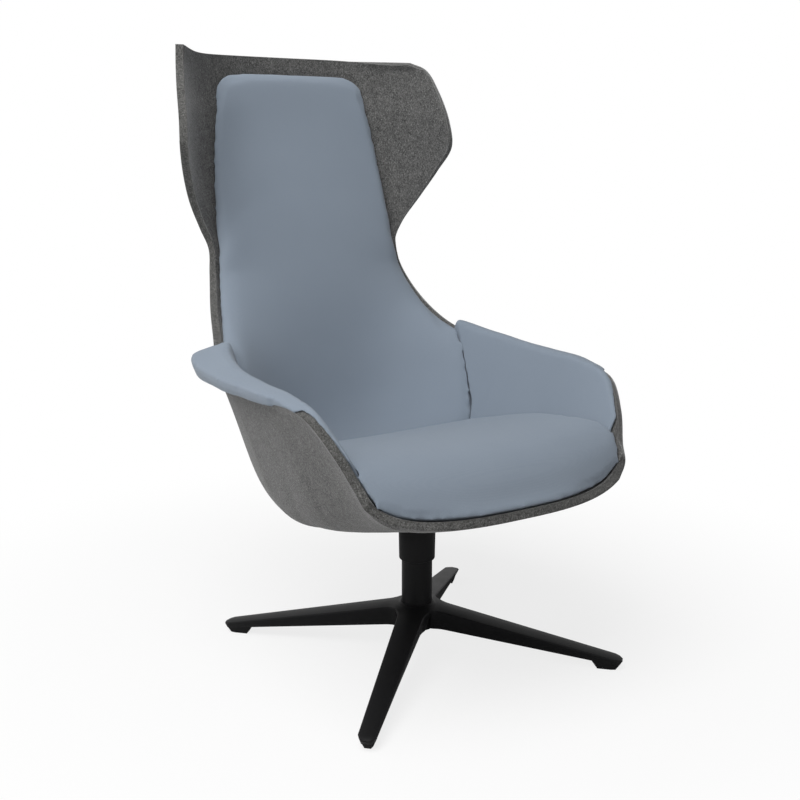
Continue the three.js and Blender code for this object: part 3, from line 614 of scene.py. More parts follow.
def piece(name: str, bm: Any, *finishes: Finish, sharp: float | None = None) -> bpy.types.Object:
    """Makes an object from a bmesh.

    Args:
        name: The piece's name.
        bm: The bmesh, which is freed.
        finishes: Its finishes, in the order of its faces' material numbers.
        sharp: Edges that fold by more than this many degrees stay crisp.

    Returns:
        The object.
    """
    mesh = bpy.data.meshes.new(name)
    for face in bm.faces:
        face.smooth = True
    bm.to_mesh(mesh)
    bm.free()
    if sharp is not None:
        mesh.set_sharp_from_angle(angle=math.radians(sharp))
    for finish in finishes:
        mesh.materials.append(finish.material())
    return placed(name, mesh)


def applied(shape: bpy.types.Object) -> bpy.types.Object:
    """Applies an object's modifiers to its mesh."""
    view = bpy.context.evaluated_depsgraph_get()
    mesh = bpy.data.meshes.new_from_object(shape.evaluated_get(view), depsgraph=view)
    old, name = shape.data, shape.data.name
    shape.modifiers.clear()
    shape.data = mesh
    bpy.data.meshes.remove(old)
    mesh.name = name
    return shape


def cut_away(shape: bpy.types.Object, *tools: bpy.types.Object) -> bpy.types.Object:
    """Takes the tools' volumes out of a shape."""
    for tool in tools:
        cut = shape.modifiers.new("cut", "BOOLEAN")
        cut.operation = "DIFFERENCE"
        cut.solver = "MANIFOLD"
        cut.object = tool
    return applied(shape)


def points_of(shape: bpy.types.Object) -> Array:
    """Returns a mesh's points."""
    co = np.empty(len(shape.data.vertices) * 3, np.float32)
    shape.data.vertices.foreach_get("co", co)
    return co.reshape(-1, 3).astype(float)


def set_points(shape: bpy.types.Object, points: Array) -> None:
    """Moves a mesh's points."""
    shape.data.vertices.foreach_set("co", points.astype(np.float32).ravel())
    shape.data.update()


def normals_of(shape: bpy.types.Object) -> Array:
    """Returns the normals at a mesh's points."""
    flat = np.empty(len(shape.data.vertices) * 3, np.float32)
    shape.data.vertex_normals.foreach_get("vector", flat)
    return flat.reshape(-1, 3).astype(float)


def push_out(shape: bpy.types.Object, distance: float) -> None:
    """Moves every point of a mesh along its normal."""
    set_points(shape, points_of(shape) + normals_of(shape) * distance)


def joined(node: str) -> Any:
    """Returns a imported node's mesh as a bmesh, with its points joined up."""
    bm = bmesh.new()
    bm.from_mesh(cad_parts[node].data)
    bmesh.ops.remove_doubles(bm, verts=bm.verts, dist=WELD)
    return bm


def carry(made: bpy.types.Object, body: Body, slot: Slot, *nodes: str) -> bpy.types.Object:
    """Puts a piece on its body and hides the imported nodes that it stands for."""
    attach(made, body.value)
    if nodes:
        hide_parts(*nodes)
    log.info("%s: %d faces on %s", made.name, len(made.data.polygons), body.value)
    return made


def dress_node(node: str, finish: Finish) -> None:
    """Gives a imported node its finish."""
    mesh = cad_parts[node].data
    mesh.materials.clear()
    mesh.materials.append(finish.material())
    log.info("%s: finished as %s", node, finish.name)


@dataclass
class ShellForm:
    """The outer skin of the felt: a spine and two rims that carry curved ribs.

    Each row of the tables is one rib. Places are shares of the half width, depth and height.
    """

    half_width: float = 0.329
    front: float = 0.322
    back: float = 0.546
    height: float = 0.878
    drop: float = 0.0128
    thickness: float = 0.015
    step: float = 0.004
    side_margin: float = 0.04
    end_margin: float = 0.03
    spine_shares: tuple = (
        (0, 0.115), (0.025, 0.107), (0.069, 0.093), (0.135, 0.074), (0.198, 0.056),
        (0.279, 0.037), (0.394, 0.013), (0.509, 0.002), (0.619, 0.023), (0.711, 0.083),
        (0.777, 0.171), (0.826, 0.279), (0.87, 0.404), (0.91, 0.53), (0.94, 0.644),
        (0.96, 0.729), (0.974, 0.797), (0.984, 0.86), (0.992, 0.923), (0.997, 0.968), (1, 1),
    )
    rim_shares: tuple = (
        (0.717, 0.037, 0.14), (0.815, 0.061, 0.166), (0.845, 0.082, 0.197),
        (0.906, 0.115, 0.255), (0.97, 0.173, 0.313), (0.994, 0.262, 0.328),
        (1, 0.388, 0.327), (0.991, 0.509, 0.327), (0.93, 0.622, 0.339),
        (0.827, 0.719, 0.374), (0.748, 0.803, 0.435), (0.687, 0.856, 0.509),
        (0.672, 0.87, 0.564), (0.723, 0.868, 0.609), (0.815, 0.839, 0.672),
        (0.888, 0.8, 0.735), (0.936, 0.765, 0.792), (0.93, 0.771, 0.849),
        (0.903, 0.804, 0.923), (0.86, 0.838, 0.976), (0.784, 0.866, 0.994),
    )
    ear_shares: tuple = ((0.902, 0.804, 0.917), (0.879, 0.826, 0.967), (0.872, 0.829, 1.006))
    ear_wall: tuple = (0.68, -0.69, 0.12)
    wall_shares: tuple = (
        (0.88, 0.38, 0.29), (0.62, 0.15, 0.77), (0.42, 0.08, 0.9), (0.42, 0.02, 0.9),
        (0.41, 0, 0.91), (0.39, 0, 0.92), (0.39, 0, 0.92), (0.39, 0, 0.92),
        (0.375, 0, 0.927), (0.38, 0, 0.925), (0.42, -0.05, 0.9), (0.55, -0.2, 0.81),
        (0.72, -0.29, 0.63), (0.74, -0.56, 0.36), (0.64, -0.73, 0.22), (0.49, -0.86, 0.1),
        (0.42, -0.905, 0.02), (0.45, -0.89, 0), (0.5, -0.865, 0), (0.6, -0.8, 0),
        (0.72, -0.69, -0.05),
    )
    fullness_shares: tuple = (
        (0.33, 0.33), (0.72, 0.2), (0.76, 0.24), (0.7, 0.44), (0.66, 0.58), (0.67, 0.67),
        (0.68, 0.71), (0.68, 0.71), (0.66, 0.68), (0.61, 0.58), (0.57, 0.46), (0.5, 0.38),
        (0.5, 0.33), (0.55, 0.3), (0.62, 0.28), (0.64, 0.27), (0.62, 0.27), (0.6, 0.27),
        (0.6, 0.27), (0.6, 0.25), (0.62, 0.25),
    )
    axis_y: float = field(init=False)
    underside: float = field(init=False)

    def __post_init__(self) -> None:
        """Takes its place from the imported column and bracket, and draws its lines."""
        low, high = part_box("column_tube")
        self.axis_y = (low.y + high.y) / 2
        self.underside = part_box("seat_bracket")[0].z + self.drop
        self.spine = Curve(self.spot(np.array([(0.0, y, z) for y, z in self.spine_shares])))
        self.rim = Curve(self.spot(np.array(self.rim_shares, float)))
        self.wall = Curve(np.array(self.wall_shares, float))
        eared = [*self.rim_shares[: -len(self.ear_shares)], *self.ear_shares]
        self.ear = Curve(self.spot(np.array(eared, float)))
        self.ear_side = Curve(np.array([*self.wall_shares[:-1], self.ear_wall], float))
        self.fullness = Curve(np.array(self.fullness_shares, float))

    def spot(self, shares: Array) -> Array:
        """Returns the points at shares of the half width, depth and height."""
        x, y, z = np.moveaxis(np.asarray(shares, float), -1, 0)
        return np.stack(
            [
                x * self.half_width,
                self.axis_y + lerp(-self.front, self.back, y),
                self.underside + z * self.height,
            ],
            -1,
        )

    def skin(self, u: Array, v: Array) -> Array:
        """Returns points on the outer skin.

        Args:
            u: From -1 at the right rim through 0 on the spine to 1 at the left rim.
            v: From 0 at the front edge to 1 at the top edge.
        """
        u, v = np.broadcast_arrays(np.asarray(u, float), np.asarray(v, float))
        right = (u < 0)[..., None]
        root, full = self.spine.at(v), self.fullness.at(v)
        end = np.where(right, self.ear.at(v), self.rim.at(v))
        wall = np.where(right, self.ear_side.at(v), self.wall.at(v))
        reach = np.linalg.norm(end - root, axis=-1, keepdims=True)
        root_handle = root + np.array([1.0, 0, 0]) * reach * full[..., :1]
        end_handle = end - unit(wall) * reach * full[..., 1:]
        t = np.abs(u)[..., None]
        s = 1 - t
        place = s**3 * root + 3 * s * s * t * root_handle
        place = place + 3 * s * t * t * end_handle + t**3 * end
        place[..., 0] *= np.where(u < 0, -1.0, 1.0)
        return place

    def normal(self, u: Array, v: Array) -> Array:
        """Returns the directions out of the shell."""
        u = np.clip(u, self.side_margin - 1, 1 - self.side_margin)
        v = np.clip(v, self.end_margin, 1 - self.end_margin)
        across = self.skin(u + self.step, v) - self.skin(u - self.step, v)
        along = self.skin(u, v + self.step) - self.skin(u, v - self.step)
        return unit(np.cross(along, across))

    def inside(self, u: Array, v: Array, depth: Any) -> Array:
        """Returns points at a depth under the outer skin."""
        u, v, depth = np.broadcast_arrays(u, v, depth)
        return self.skin(u, v) - self.normal(u, v) * depth[..., None]

    def at_rim(self, v: Array, out: Any, up: Any) -> Array:
        """Returns points at the left rim, measured out of its outer face and up past its edge."""
        v, out, up = np.broadcast_arrays(v, out, up)
        ones = np.ones_like(v)
        rise = unit(self.wall.at(v)) * up[..., None]
        return self.skin(ones, v) + self.normal(ones, v) * out[..., None] + rise


@dataclass
class FeltShell:
    """The moulded felt shell with its cut edge."""

    form: ShellForm
    columns: int = 84
    rows: int = 300
    arris: float = 0.0011
    boss_radius: float = 0.032
    boss_clearance: float = 0.0003
    bore_steps: int = 72

    def build(self) -> bpy.types.Object:
        """Shapes the sheet, rounds the arrises of its cut edge and bores it for the boss."""
        form = self.form
        blank = Blank(self.columns, self.rows, 2).mark_sides(0, 1).shape(
            lambda i, j, k: form.inside(lerp(-1.0, 1.0, i), j, form.thickness * k)
        )
        arrises = [
            edge
            for edge in blank.bm.edges
            if len({face.material_index for face in edge.link_faces}) > 1
        ]
        round_off(blank.bm, arrises, self.arris)
        made = piece("felt_shell_sheet", blank.bm, FELT, CUT_FELT)
        bore = self._bore()
        cut_away(made, bore)
        bpy.data.objects.remove(bore)
        return carry(made, Body.SEAT, Slot.FELT, "felt_shell")

    def _bore(self) -> bpy.types.Object:
        """Returns the tool that bores the shell for the bracket's boss."""
        low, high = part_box("seat_bracket")
        radius = self.boss_radius + self.boss_clearance
        profile = [(0.0, low.z), (radius, low.z), (radius, 2 * high.z), (0.0, 2 * high.z)]
        centre = Vector((0.0, self.form.axis_y, 0.0))
        return piece("bore_tool", spun(profile, centre, self.bore_steps))

    def trimmer(self, clearance: float) -> bpy.types.Object:
        """Returns the sheet, grown by a clearance, as the tool that trims the pads."""
        form = self.form
        blank = Blank(self.columns, self.rows // 2, 2).shape(
            lambda i, j, k: form.inside(lerp(-1.0, 1.0, i), j, form.thickness * k)
        )
        tool = piece("felt_tool", blank.bm)
        push_out(tool, clearance)
        return tool


@dataclass(frozen=True)
class Filling:
    """How a pad's cover is drawn over its foam."""

    voxel: float = 0.005
    shrink: float = 0.0008
    swell: float = 0.002
    relax: int = 5
    settle: int = 2
    pressure: float = 5.0
    quality: int = 5
    frames: int = 10


class Upholsterer:
    """Turns a pad's solid form into a soft, filled cover."""

    def __init__(self, filling: Filling) -> None:
        """Keeps the filling."""
        self.filling = filling

    def cover(self, shape: bpy.types.Object) -> bpy.types.Object:
        """Remeshes the form evenly, draws it in a little and lets it swell."""
        filling = self.filling
        remesh = shape.modifiers.new("even", "REMESH")
        remesh.mode = "VOXEL"
        remesh.voxel_size = filling.voxel
        applied(shape)
        for polygon in shape.data.polygons:
            polygon.use_smooth = True
        self._relax(shape, filling.relax)
        rest = points_of(shape) - normals_of(shape) * filling.shrink
        set_points(shape, rest)
        self._swell(shape, rest)
        self._relax(shape, filling.settle)
        self.finish(shape)
        return shape

    @staticmethod
    def finish(shape: bpy.types.Object) -> None:
        """Subdivides a cover once."""
        finer = shape.modifiers.new("finer", "SUBSURF")
        finer.levels = finer.render_levels = 1

    @staticmethod
    def _relax(shape: bpy.types.Object, rounds: int) -> None:
        """Evens the points out without drawing the form in."""
        bm = bmesh.new()
        bm.from_mesh(shape.data)
        for _ in range(rounds):
            bmesh.ops.smooth_vert(
                bm, verts=bm.verts, factor=0.5, use_axis_x=True, use_axis_y=True, use_axis_z=True
            )
        bm.to_mesh(shape.data)
        bm.free()

    def _swell(self, shape: bpy.types.Object, rest: Array) -> None:
        """Blows the cover up, and stops each point where the foam would stop it."""
        filling, scene = self.filling, bpy.context.scene
        cloth = shape.modifiers.new("cover", "CLOTH")
        cloth.settings.use_pressure = True
        cloth.settings.uniform_pressure_force = filling.pressure
        cloth.settings.effector_weights.gravity = 0.0
        cloth.settings.quality = filling.quality
        cloth.collision_settings.use_collision = False
        cloth.point_cache.frame_end = filling.frames
        for step in range(1, filling.frames + 1):
            scene.frame_set(step)
        view = bpy.context.evaluated_depsgraph_get()
        swollen = bpy.data.meshes.new_from_object(shape.evaluated_get(view), depsgraph=view)
        flat = np.empty(len(swollen.vertices) * 3, np.float32)
        swollen.vertices.foreach_get("co", flat)
        shape.modifiers.remove(cloth)
        scene.frame_set(1)
        move = flat.reshape(-1, 3).astype(float) - rest
        length = np.linalg.norm(move, axis=1, keepdims=True)
        set_points(shape, rest + move * np.minimum(1.0, filling.swell / np.maximum(length, WELD)))
        bpy.data.meshes.remove(swollen)
        most = min(length.max(), filling.swell)
        log.info("%s: swollen by up to %.1f mm", shape.name, 1000 * most)


@dataclass
class ArmPad:
    """One arm's pad: it lines the felt and folds over its edge as a flaring arm rest."""

    form: ShellForm
    lining: float = 0.0153
    span_shares: tuple = (0.134, 0.44)
    seam_shares: tuple = (0.366, 0.412)
    seam_curl: float = 2.75
    crest_share: float = 0.4285
    thickness: float = 0.024
    overhang: float = 0.045
    rise: float = 0.020
    lip: float = 0.018
    rounding: float = 0.009
    arris: float = 0.0045
    top_share: float = 0.96
    runs: int = 180
    steps: int = 12
    crest_steps: int = 5
    lip_steps: int = 4
    foot_table: Table = Table((0, 0.855), (0.3, 0.79), (0.7, 0.735), (1, 0.665))
    thickness_table: Table = Table(
        (0, 0.3), (0.2, 0.4), (0.35, 0.6), (0.6, 0.8), (0.83, 0.95), (1, 1)
    )
    overhang_table: Table = Table(
        (0, -0.36), (0.09, -0.34), (0.15, -0.2), (0.25, -0.17), (0.28, 0.07), (0.405, 0.1),
        (0.415, 0.18),
        (0.5, 0.24), (0.6, 0.29), (0.75, 0.48), (0.87, 0.8), (0.93, 0.9), (0.97, 0.9),
        (0.99, 0.8), (1, 0.65),
    )
    lip_table: Table = Table(
        (0, 0.3), (0.3, 0.25), (0.4, 0.36), (0.42, 0.54), (0.5, 0.58), (0.6, 0.57), (0.7, 0.58),
        (0.8, 0.63), (0.85, 0.74), (0.9, 0.92), (1, 1),
    )
    rise_table: Table = Table(
        (0, 0.22), (0.1, 0.26), (0.25, 0.27), (0.3, 0.28), (0.35, 0.3), (0.4, 0.36),
        (0.5, 0.48), (0.6, 0.64), (0.7, 0.84), (0.75, 0.97), (0.8, 1.04), (0.85, 1.07),
        (0.9, 1.07), (0.95, 1.03), (1, 0.9),
    )
    outer_rise_table: Table = Table(
        (0, 0.22), (0.1, 0.26), (0.25, 0.27), (0.3, 0.32), (0.35, 0.44), (0.4, 0.58),
        (0.5, 0.76), (0.6, 0.88), (0.8, 1.03), (0.9, 1.08), (0.95, 0.8), (1, 0.3),
    )

    def station(self, run: Array, height: Array) -> Array:
        """Returns where on the spine the inner face stands at a run and a height."""
        back = lerp(*self.seam_shares, height**self.seam_curl)
        return lerp(self.span_shares[0], back, run)

    def outline(self, run: float) -> Array:
        """Returns the corners of the section at a share of the pad's run.

        They go up the inner face, over the rest and down its lip, then back through the middle
        of the felt, whose own volume is cut out of the pad later.
        """
        form, one = self.form, np.array([1.0])
        thick = self.thickness * float(self.thickness_table.at(run))
        rise = self.rise * float(self.rise_table.at(run))
        outer_rise = self.rise * float(self.outer_rise_table.at(run))
        over = self.overhang * float(self.overhang_table.at(run))
        lip = self.lip * float(self.lip_table.at(run))
        foot = float(self.foot_table.at(run))
        crest = lerp(self.span_shares[0], self.crest_share, run) * one
        outside = lerp(*self.span_shares, run) * one
        inner, core = -form.thickness - thick, form.thickness / 2
        heights = np.linspace(0, 1, self.steps)
        rows = [self._face(run, foot, height, self.lining + thick) for height in heights]
        for turn in np.linspace(0, math.pi / 2, self.crest_steps):
            out = inner + self.rounding * (1 - math.cos(turn))
            rows.append(form.at_rim(crest, out, rise - self.rounding * (1 - math.sin(turn))))
        for turn in np.linspace(0, math.pi / 2, self.lip_steps):
            out = over - self.arris * (1 - math.sin(turn))
            up = outer_rise - self.arris * (1 - math.cos(turn))
            rows.append(form.at_rim(outside, out, up))
        rows.append(form.at_rim(outside, over, self.arris - lip))
        rows.append(form.at_rim(outside, over - self.arris * float(over > 0), -lip))
        rows.append(form.at_rim(outside, -core, -lip))
        rows.extend(self._face(run, foot, height, core) for height in heights[::-1])
        return np.concatenate(rows)

    def _face(self, run: float, foot: float, height: float, depth: float) -> Array:
        """Returns a point under the shell's skin, from the pad's foot up to its top."""
        one = np.array([1.0])
        u = lerp(foot, self.top_share, height) * one
        return self.form.inside(u, self.station(run, height * one), depth)

    def solid(self) -> bpy.types.Object:
        """Returns the left pad's form, before it is trimmed and covered."""
        outlines = np.array([self.outline(run) for run in np.linspace(0, 1, self.runs + 1)])
        around = outlines.shape[1]
        bm = tube_blank(
            self.runs,
            around,
            lambda i, j: outlines[
                np.rint(i * self.runs).astype(int), np.rint(j * around).astype(int) % around
            ],
        )
        return piece("arm_pad_cover_left", bm, COVER)


@dataclass
class BackPad:
    """The tall pad of the back, from the seat up to its two round corners."""

    form: ShellForm
    arm: ArmPad
    depth: float = 0.017
    foot_share: float = 0.42
    top_share: float = 0.941
    seam_share: float = 0.2
    tuck: float = 0.006
    spread: float = 2.3
    row_power: float = 1.6
    lift_power: float = 2.2
    edge: float = 0.024
    edge_rise: Table = Table((0, 1), (0.5, 1), (0.75, 0.4), (1, 0.32))
    wall_power: int = 24
    top_power: int = 40
    bulge: float = 0.076
    skirt: float = 0.005
    corner: float = 0.048
    height_share: float = 0.776
    bulge_table: Table = Table(
        (0, 0.4), (0.1, 0.58), (0.2, 0.8), (0.3, 0.93), (0.38, 0.93), (0.48, 0.82),
        (0.6, 0.66), (0.8, 0.5), (1, 0.42),
    )
    edge_table: Table = Table(
        (0.42, 0.996), (0.54, 0.996), (0.58, 0.99), (0.61, 0.968), (0.635, 0.93),
        (0.66, 0.845), (0.7, 0.66), (0.75, 0.5), (0.8, 0.425), (0.85, 0.414), (0.9, 0.409),
        (0.941, 0.394),
    )

    def station(self, p: Array, q: Array) -> Array:
        """Returns where on the spine a point of the pad stands.

        Args:
            p: From -1 to 1 across the pad.
            q: From 0 at its foot to 1 at its top.
        """
        centre = lerp(self.foot_share, self.top_share, q)
        seam = np.clip(q / self.seam_share, 0, 1)
        above = np.clip((q - self.seam_share) / (1 - self.seam_share), 0, 1)
        side = lerp(*self.arm.seam_shares, seam**self.arm.seam_curl) - self.tuck
        return lerp(centre, lerp(side, self.top_share, above), np.abs(p) ** self.lift_power)

    def half(self, q: Array) -> Array:
        """Returns the pad's half width as a share of the rib, with its top corners rounded."""
        ones = np.ones_like(q)
        seam = np.clip(q / self.seam_share, 0, 1)
        low = lerp(float(self.arm.foot_table.values[-1]), float(self.edge_table.values[0]), seam)
        half = np.where(seam < 1, low, self.edge_table.at(self.station(ones, q)))
        drop = np.clip((1 - q) * self.form.height * self.height_share / self.corner, 0, 1)
        cut = 1 - np.sqrt(1 - (1 - drop) ** 2)
        reach = self.form.skin(half, self.station(ones, q))[..., 0]
        return half * (1 - cut * self.corner / reach)

    def spot(self, i: Array, j: Array, k: Array) -> Array:
        """Returns a point of the pad at its three keys."""
        form = self.form
        p = np.sin(math.pi / 2 * lerp(-1.0, 1.0, i))
        q = 1 - (1 - j) ** self.row_power
        middle, edge = np.zeros_like(q), np.ones_like(q)
        u, v = p * self.half(q), self.station(p, q)
        foot = form.inside(u, v, form.thickness / 2)
        skirt = form.inside(u, v, self.depth + self.skirt)
        bulge = self.bulge * self.bulge_table.at(q)
        centre = form.inside(middle, self.station(middle, q), self.depth + bulge)
        proud = self.edge * self.edge_rise.at(q)
        side = form.inside(self.half(q), self.station(edge, q), self.depth + proud)
        face = lerp(centre, side, (np.abs(p) ** self.spread)[:, None])
        face[:, 0] = p * side[:, 0]
        crown = np.cbrt(1 - np.abs(p) ** self.wall_power) * np.cbrt(1 - q**self.top_power)
        return lerp(foot, lerp(skirt, face, crown[:, None]), k[:, None])

    def solid(self) -> bpy.types.Object:
        """Returns the pad's form, before it is covered."""
        return piece("back_pad_cover", Blank(60, 110, 6).shape(self.spot).bm, COVER)


@dataclass
class SeatCushion:
    """The crowned seat cushion with its waterfall front."""

    form: ShellForm
    depth: float = 0.017
    skirt: float = 0.005
    front_share: float = 0.0015
    lean: float = 0.007
    lean_share: float = 0.03
    lean_power: float = 1.5
    row_power: float = 1.5
    crown_power: float = 2.4
    front_power: int = 6
    side_share: float = 0.985
    roll: float = 0.016
    roll_share: float = 0.09
    foot_end: float = 0.4
    centre_shares: tuple = (
        (0, 0.021, 0.152), (0, 0.043, 0.184), (0, 0.08, 0.212), (0, 0.14, 0.225),
        (0, 0.255, 0.219), (0, 0.37, 0.198), (0, 0.486, 0.169), (0, 0.62, 0.136),
    )
    side_shares: tuple = (
        (0.812, 0.063, 0.178), (0.845, 0.083, 0.207), (0.857, 0.1, 0.226), (0.852, 0.137, 0.239),
        (0.842, 0.24, 0.233), (0.82, 0.35, 0.216), (0.8, 0.463, 0.189), (0.74, 0.585, 0.155),
    )
    foot_table: Table = Table((0, 0.985), (0.25, 0.975), (0.45, 0.9), (1, 0.76))

    def __post_init__(self) -> None:
        """Draws its centre line and its side seam."""
        form = self.form
        self.centre = Curve(
            np.vstack([self.corner(np.zeros(1)), form.spot(np.array(self.centre_shares, float))])
        )
        side = self.corner(np.full(1, self.side_share))
        self.side = Curve(np.vstack([side, form.spot(np.array(self.side_shares, float))]))

    def corner(self, u: Array) -> Array:
        """Returns the cushion's front upper edge."""
        return self.form.inside(u, np.full_like(u, self.front_share), self.depth + self.skirt)

    def top(self, p: Array, q: Array) -> Array:
        """Returns points of the crowned top.

        Args:
            p: From -1 to 1 across the cushion.
            q: From 0 at the front to 1 at the back.
        """
        centre, side = self.centre.at(q), self.side.at(q)
        outward = np.abs(p) ** self.crown_power
        start, end = self.centre.points[1], self.side.points[1]
        place = np.stack([p * side[:, 0], *lerp(centre, side, outward[:, None]).T[1:]], -1)
        flat = np.stack([p * end[0], *(lerp(start, end, outward[:, None]).T[1:])], -1)
        front = self.corner(p * self.side_share)
        place = place + (front - flat) * ((1 - q) ** self.front_power)[:, None]
        to_edge = np.clip((1 - np.abs(p)) / self.roll_share, 0, 1)
        roll = 1 - np.sqrt(1 - (1 - to_edge) ** 2)
        place[:, 2] -= self.roll * roll * np.clip(q * 3, 0, 1)
        return place

    def spot(self, i: Array, j: Array, k: Array) -> Array:
        """Returns a point of the cushion at its three keys."""
        form = self.form
        p = np.sin(math.pi / 2 * lerp(-1.0, 1.0, i))
        q = j**self.row_power
        at_front = np.clip(1 - q / self.lean_share, 0, 1)
        u = p * self.foot_table.at(q)
        v = lerp(self.front_share, self.foot_end, q)
        foot = form.inside(u, v, form.thickness / 2)
        ahead = unit(form.skin(u, np.zeros_like(u)) - form.skin(u, np.full_like(u, form.step)))
        place = lerp(foot, self.top(p, q), k[:, None])
        return place + ahead * (self.lean * at_front * k**self.lean_power)[:, None]

    def solid(self) -> bpy.types.Object:
        """Returns the cushion's form, before it is covered."""
        return piece("seat_cushion_cover", Blank(70, 80, 6).shape(self.spot).bm, COVER)


@dataclass
class Lining:
    """The four upholstered pads inside the felt."""

    form: ShellForm
    grow: float = 0.001
    clearance: float = 0.0008
    filling: Filling = Filling()
    seat_filling: Filling = Filling(voxel=0.004, relax=2, settle=1)
    arm_filling: Filling = Filling(voxel=0.0036, shrink=0.0006, swell=0.001, relax=3, settle=1)

    def build(self) -> None:
        """Makes the forms, trims them where they meet and where the felt is, and covers them."""
        arm = ArmPad(self.form)
        left = arm.solid()
        back = BackPad(self.form, arm).solid()
        seat = SeatCushion(self.form).solid()
        felt = FeltShell(self.form).trimmer(self.clearance)
        tools = [self._grown(left), self._grown(left, mirrored=True), self._grown(back)]
        nodes = ("arm_board_left", "back_board", "seat_board")
        boards = {node: self._board(node) for node in nodes}
        cut_away(seat, *tools, boards["seat_board"], felt)
        cut_away(back, *tools[:2], boards["back_board"], felt)
        cut_away(left, boards["arm_board_left"], felt)
        for tool in [*tools, *boards.values(), felt]:
            bpy.data.objects.remove(tool)
        fillings = (self.seat_filling, self.filling, self.arm_filling)
        for shape, filling in zip((seat, back, left), fillings):
            keep_largest(shape)
            Upholsterer(filling).cover(shape)
        right = self._twin(left)
        Upholsterer.finish(right)
        pads = {
            "seat_cushion": seat, "back_pad": back, "arm_pad_left": left, "arm_pad_right": right
        }
        for node, shape in pads.items():
            carry(shape, Body.SEAT, Slot.UPHOLSTERY, node)

    def _grown(self, shape: bpy.types.Object, mirrored: bool = False) -> bpy.types.Object:
        """Returns a slightly larger copy that trims a neighbour, mirrored if asked."""
        tool = placed("trim_tool", shape.data.copy())
        push_out(tool, self.grow)
        if mirrored:
            mirror_mesh(tool)
        return tool

    def _board(self, node: str) -> bpy.types.Object:
        """Returns a joined-up copy of a packed board, slightly larger."""
        tool = piece("board_tool", joined(node))
        push_out(tool, self.grow)
        return tool

    @staticmethod
    def _twin(shape: bpy.types.Object) -> bpy.types.Object:
        """Returns the other arm's pad."""
        twin = placed("arm_pad_cover_right", shape.data.copy())
        mirror_mesh(twin)
        return twin


def mirror_mesh(shape: bpy.types.Object) -> None:
    """Mirrors a mesh across the chair's middle plane and keeps its faces outwards."""
    shape.data.transform(Matrix.Scale(-1, 4, (1, 0, 0)))
    shape.data.flip_normals()


def keep_largest(shape: bpy.types.Object) -> None:
    """Removes the offcuts of a trimmed form."""
    bm = bmesh.new()
    bm.from_mesh(shape.data)
    left, islands = set(bm.verts), []
    while left:
        island, reach = set(), [next(iter(left))]
        while reach:
            vert = reach.pop()
            if vert in island:
                continue
            island.add(vert)
            reach.extend(edge.other_vert(vert) for edge in vert.link_edges)
        left -= island
        islands.append(island)
    largest = max(islands, key=len)
    spare = [vert for vert in bm.verts if vert not in largest]
    bmesh.ops.delete(bm, geom=spare, context="VERTS")
    bm.to_mesh(shape.data)
    bm.free()


def smooth_copy(node: str, name: str, arris: float, finish: Finish, fold: float = 32) -> Any:
    """Returns a joined-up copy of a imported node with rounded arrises.

    Args:
        node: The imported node.
        name: The new piece's name.
        arris: The radius of its rounded edges.
        finish: Its finish.
        fold: Edges that fold by more than this many degrees are rounded.
    """
    bm = joined(node)
    bmesh.ops.dissolve_limit(bm, angle_limit=FLAT, verts=bm.verts, edges=bm.edges)
    if arris:
        round_off(bm, sharp_edges(bm, fold), arris, 2)
    return piece(name, bm, finish, sharp=fold)


@dataclass
class StarBase:
    """The cast base with its glides."""

    legs: int = 4
    arris: float = 0.0009

    def build(self) -> None:
        """Rounds the casting's arrises and finishes the glides."""
        cast = smooth_copy("star_base", "star_base_casting", self.arris, POWDER)
        carry(cast, Body.BASE, Slot.CASTING, "star_base")
        for leg in range(1, self.legs + 1):
            dress_node(f"glide_{leg}", NYLON)


@dataclass
class SwivelColumn:
    """The column tube, the collar over its bearing, and what turns inside them."""

    form: ShellForm
    wall: float = 0.004
    edge: float = 0.0006
    collar_wall: float = 0.0029
    collar_taper: float = 0.0012
    collar_chamfer: float = 0.003
    collar_lip: float = 0.005
    running_gap: float = 0.0008
    balls: int = 8

    def build(self) -> None:
        """Turns the tube and the collar, and finishes the inner parts."""
        centre = Vector((0.0, self.form.axis_y, 0.0))
        low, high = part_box("column_tube")
        outer = (high.x - low.x) / 2
        inner, edge = outer - self.wall, self.edge
        profile = [
            (inner, low.z), (outer - edge, low.z), (outer, low.z + edge), (outer, high.z - edge),
            (outer - edge, high.z), (inner, high.z),
        ]
        tube = piece("column_tube_turned", spun(profile, centre), TUBE_COAT, sharp=32)
        carry(tube, Body.BASE, Slot.COLUMN, "column_tube")
        collar = piece("collar_turned", spun(self._collar_profile(outer), centre), NYLON, sharp=50)
        carry(collar, Body.SEAT, Slot.PLASTIC, "collar_cover")
        for node in (
            "spindle", "thrust_washer_lower", "thrust_washer_upper", "retaining_washer",
            "retaining_clip",
        ):
            dress_node(node, STEEL)
        for ball in range(1, self.balls + 1):
            dress_node(f"bearing_ball_{ball}", STEEL)
        for node in ("upper_bush", "lower_bush", "ball_cage"):
            dress_node(node, ACETAL)

    def _collar_profile(self, tube: float) -> list[tuple[float, float]]:
        """Returns the collar's outline, with its chamfered foot rounded in small steps."""
        low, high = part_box("collar_cover")
        outer = (high.x - low.x) / 2
        bore = outer - self.collar_wall
        foot = outer - self.collar_taper
        inner = tube + self.running_gap
        outline = [(inner, low.z + self.edge), (inner + self.edge, low.z)]
        for turn in np.linspace(0, math.pi / 2, 6):
            outline.append(
                (
                    foot - self.collar_chamfer * (1 - math.sin(turn)),
                    low.z + self.collar_chamfer * (1 - math.cos(turn)),
                )
            )
        outline += [
            (outer, high.z - self.edge), (outer - self.edge, high.z), (bore, high.z),
            (bore, low.z + self.collar_lip), (inner, low.z + self.collar_lip),
        ]
        return outline


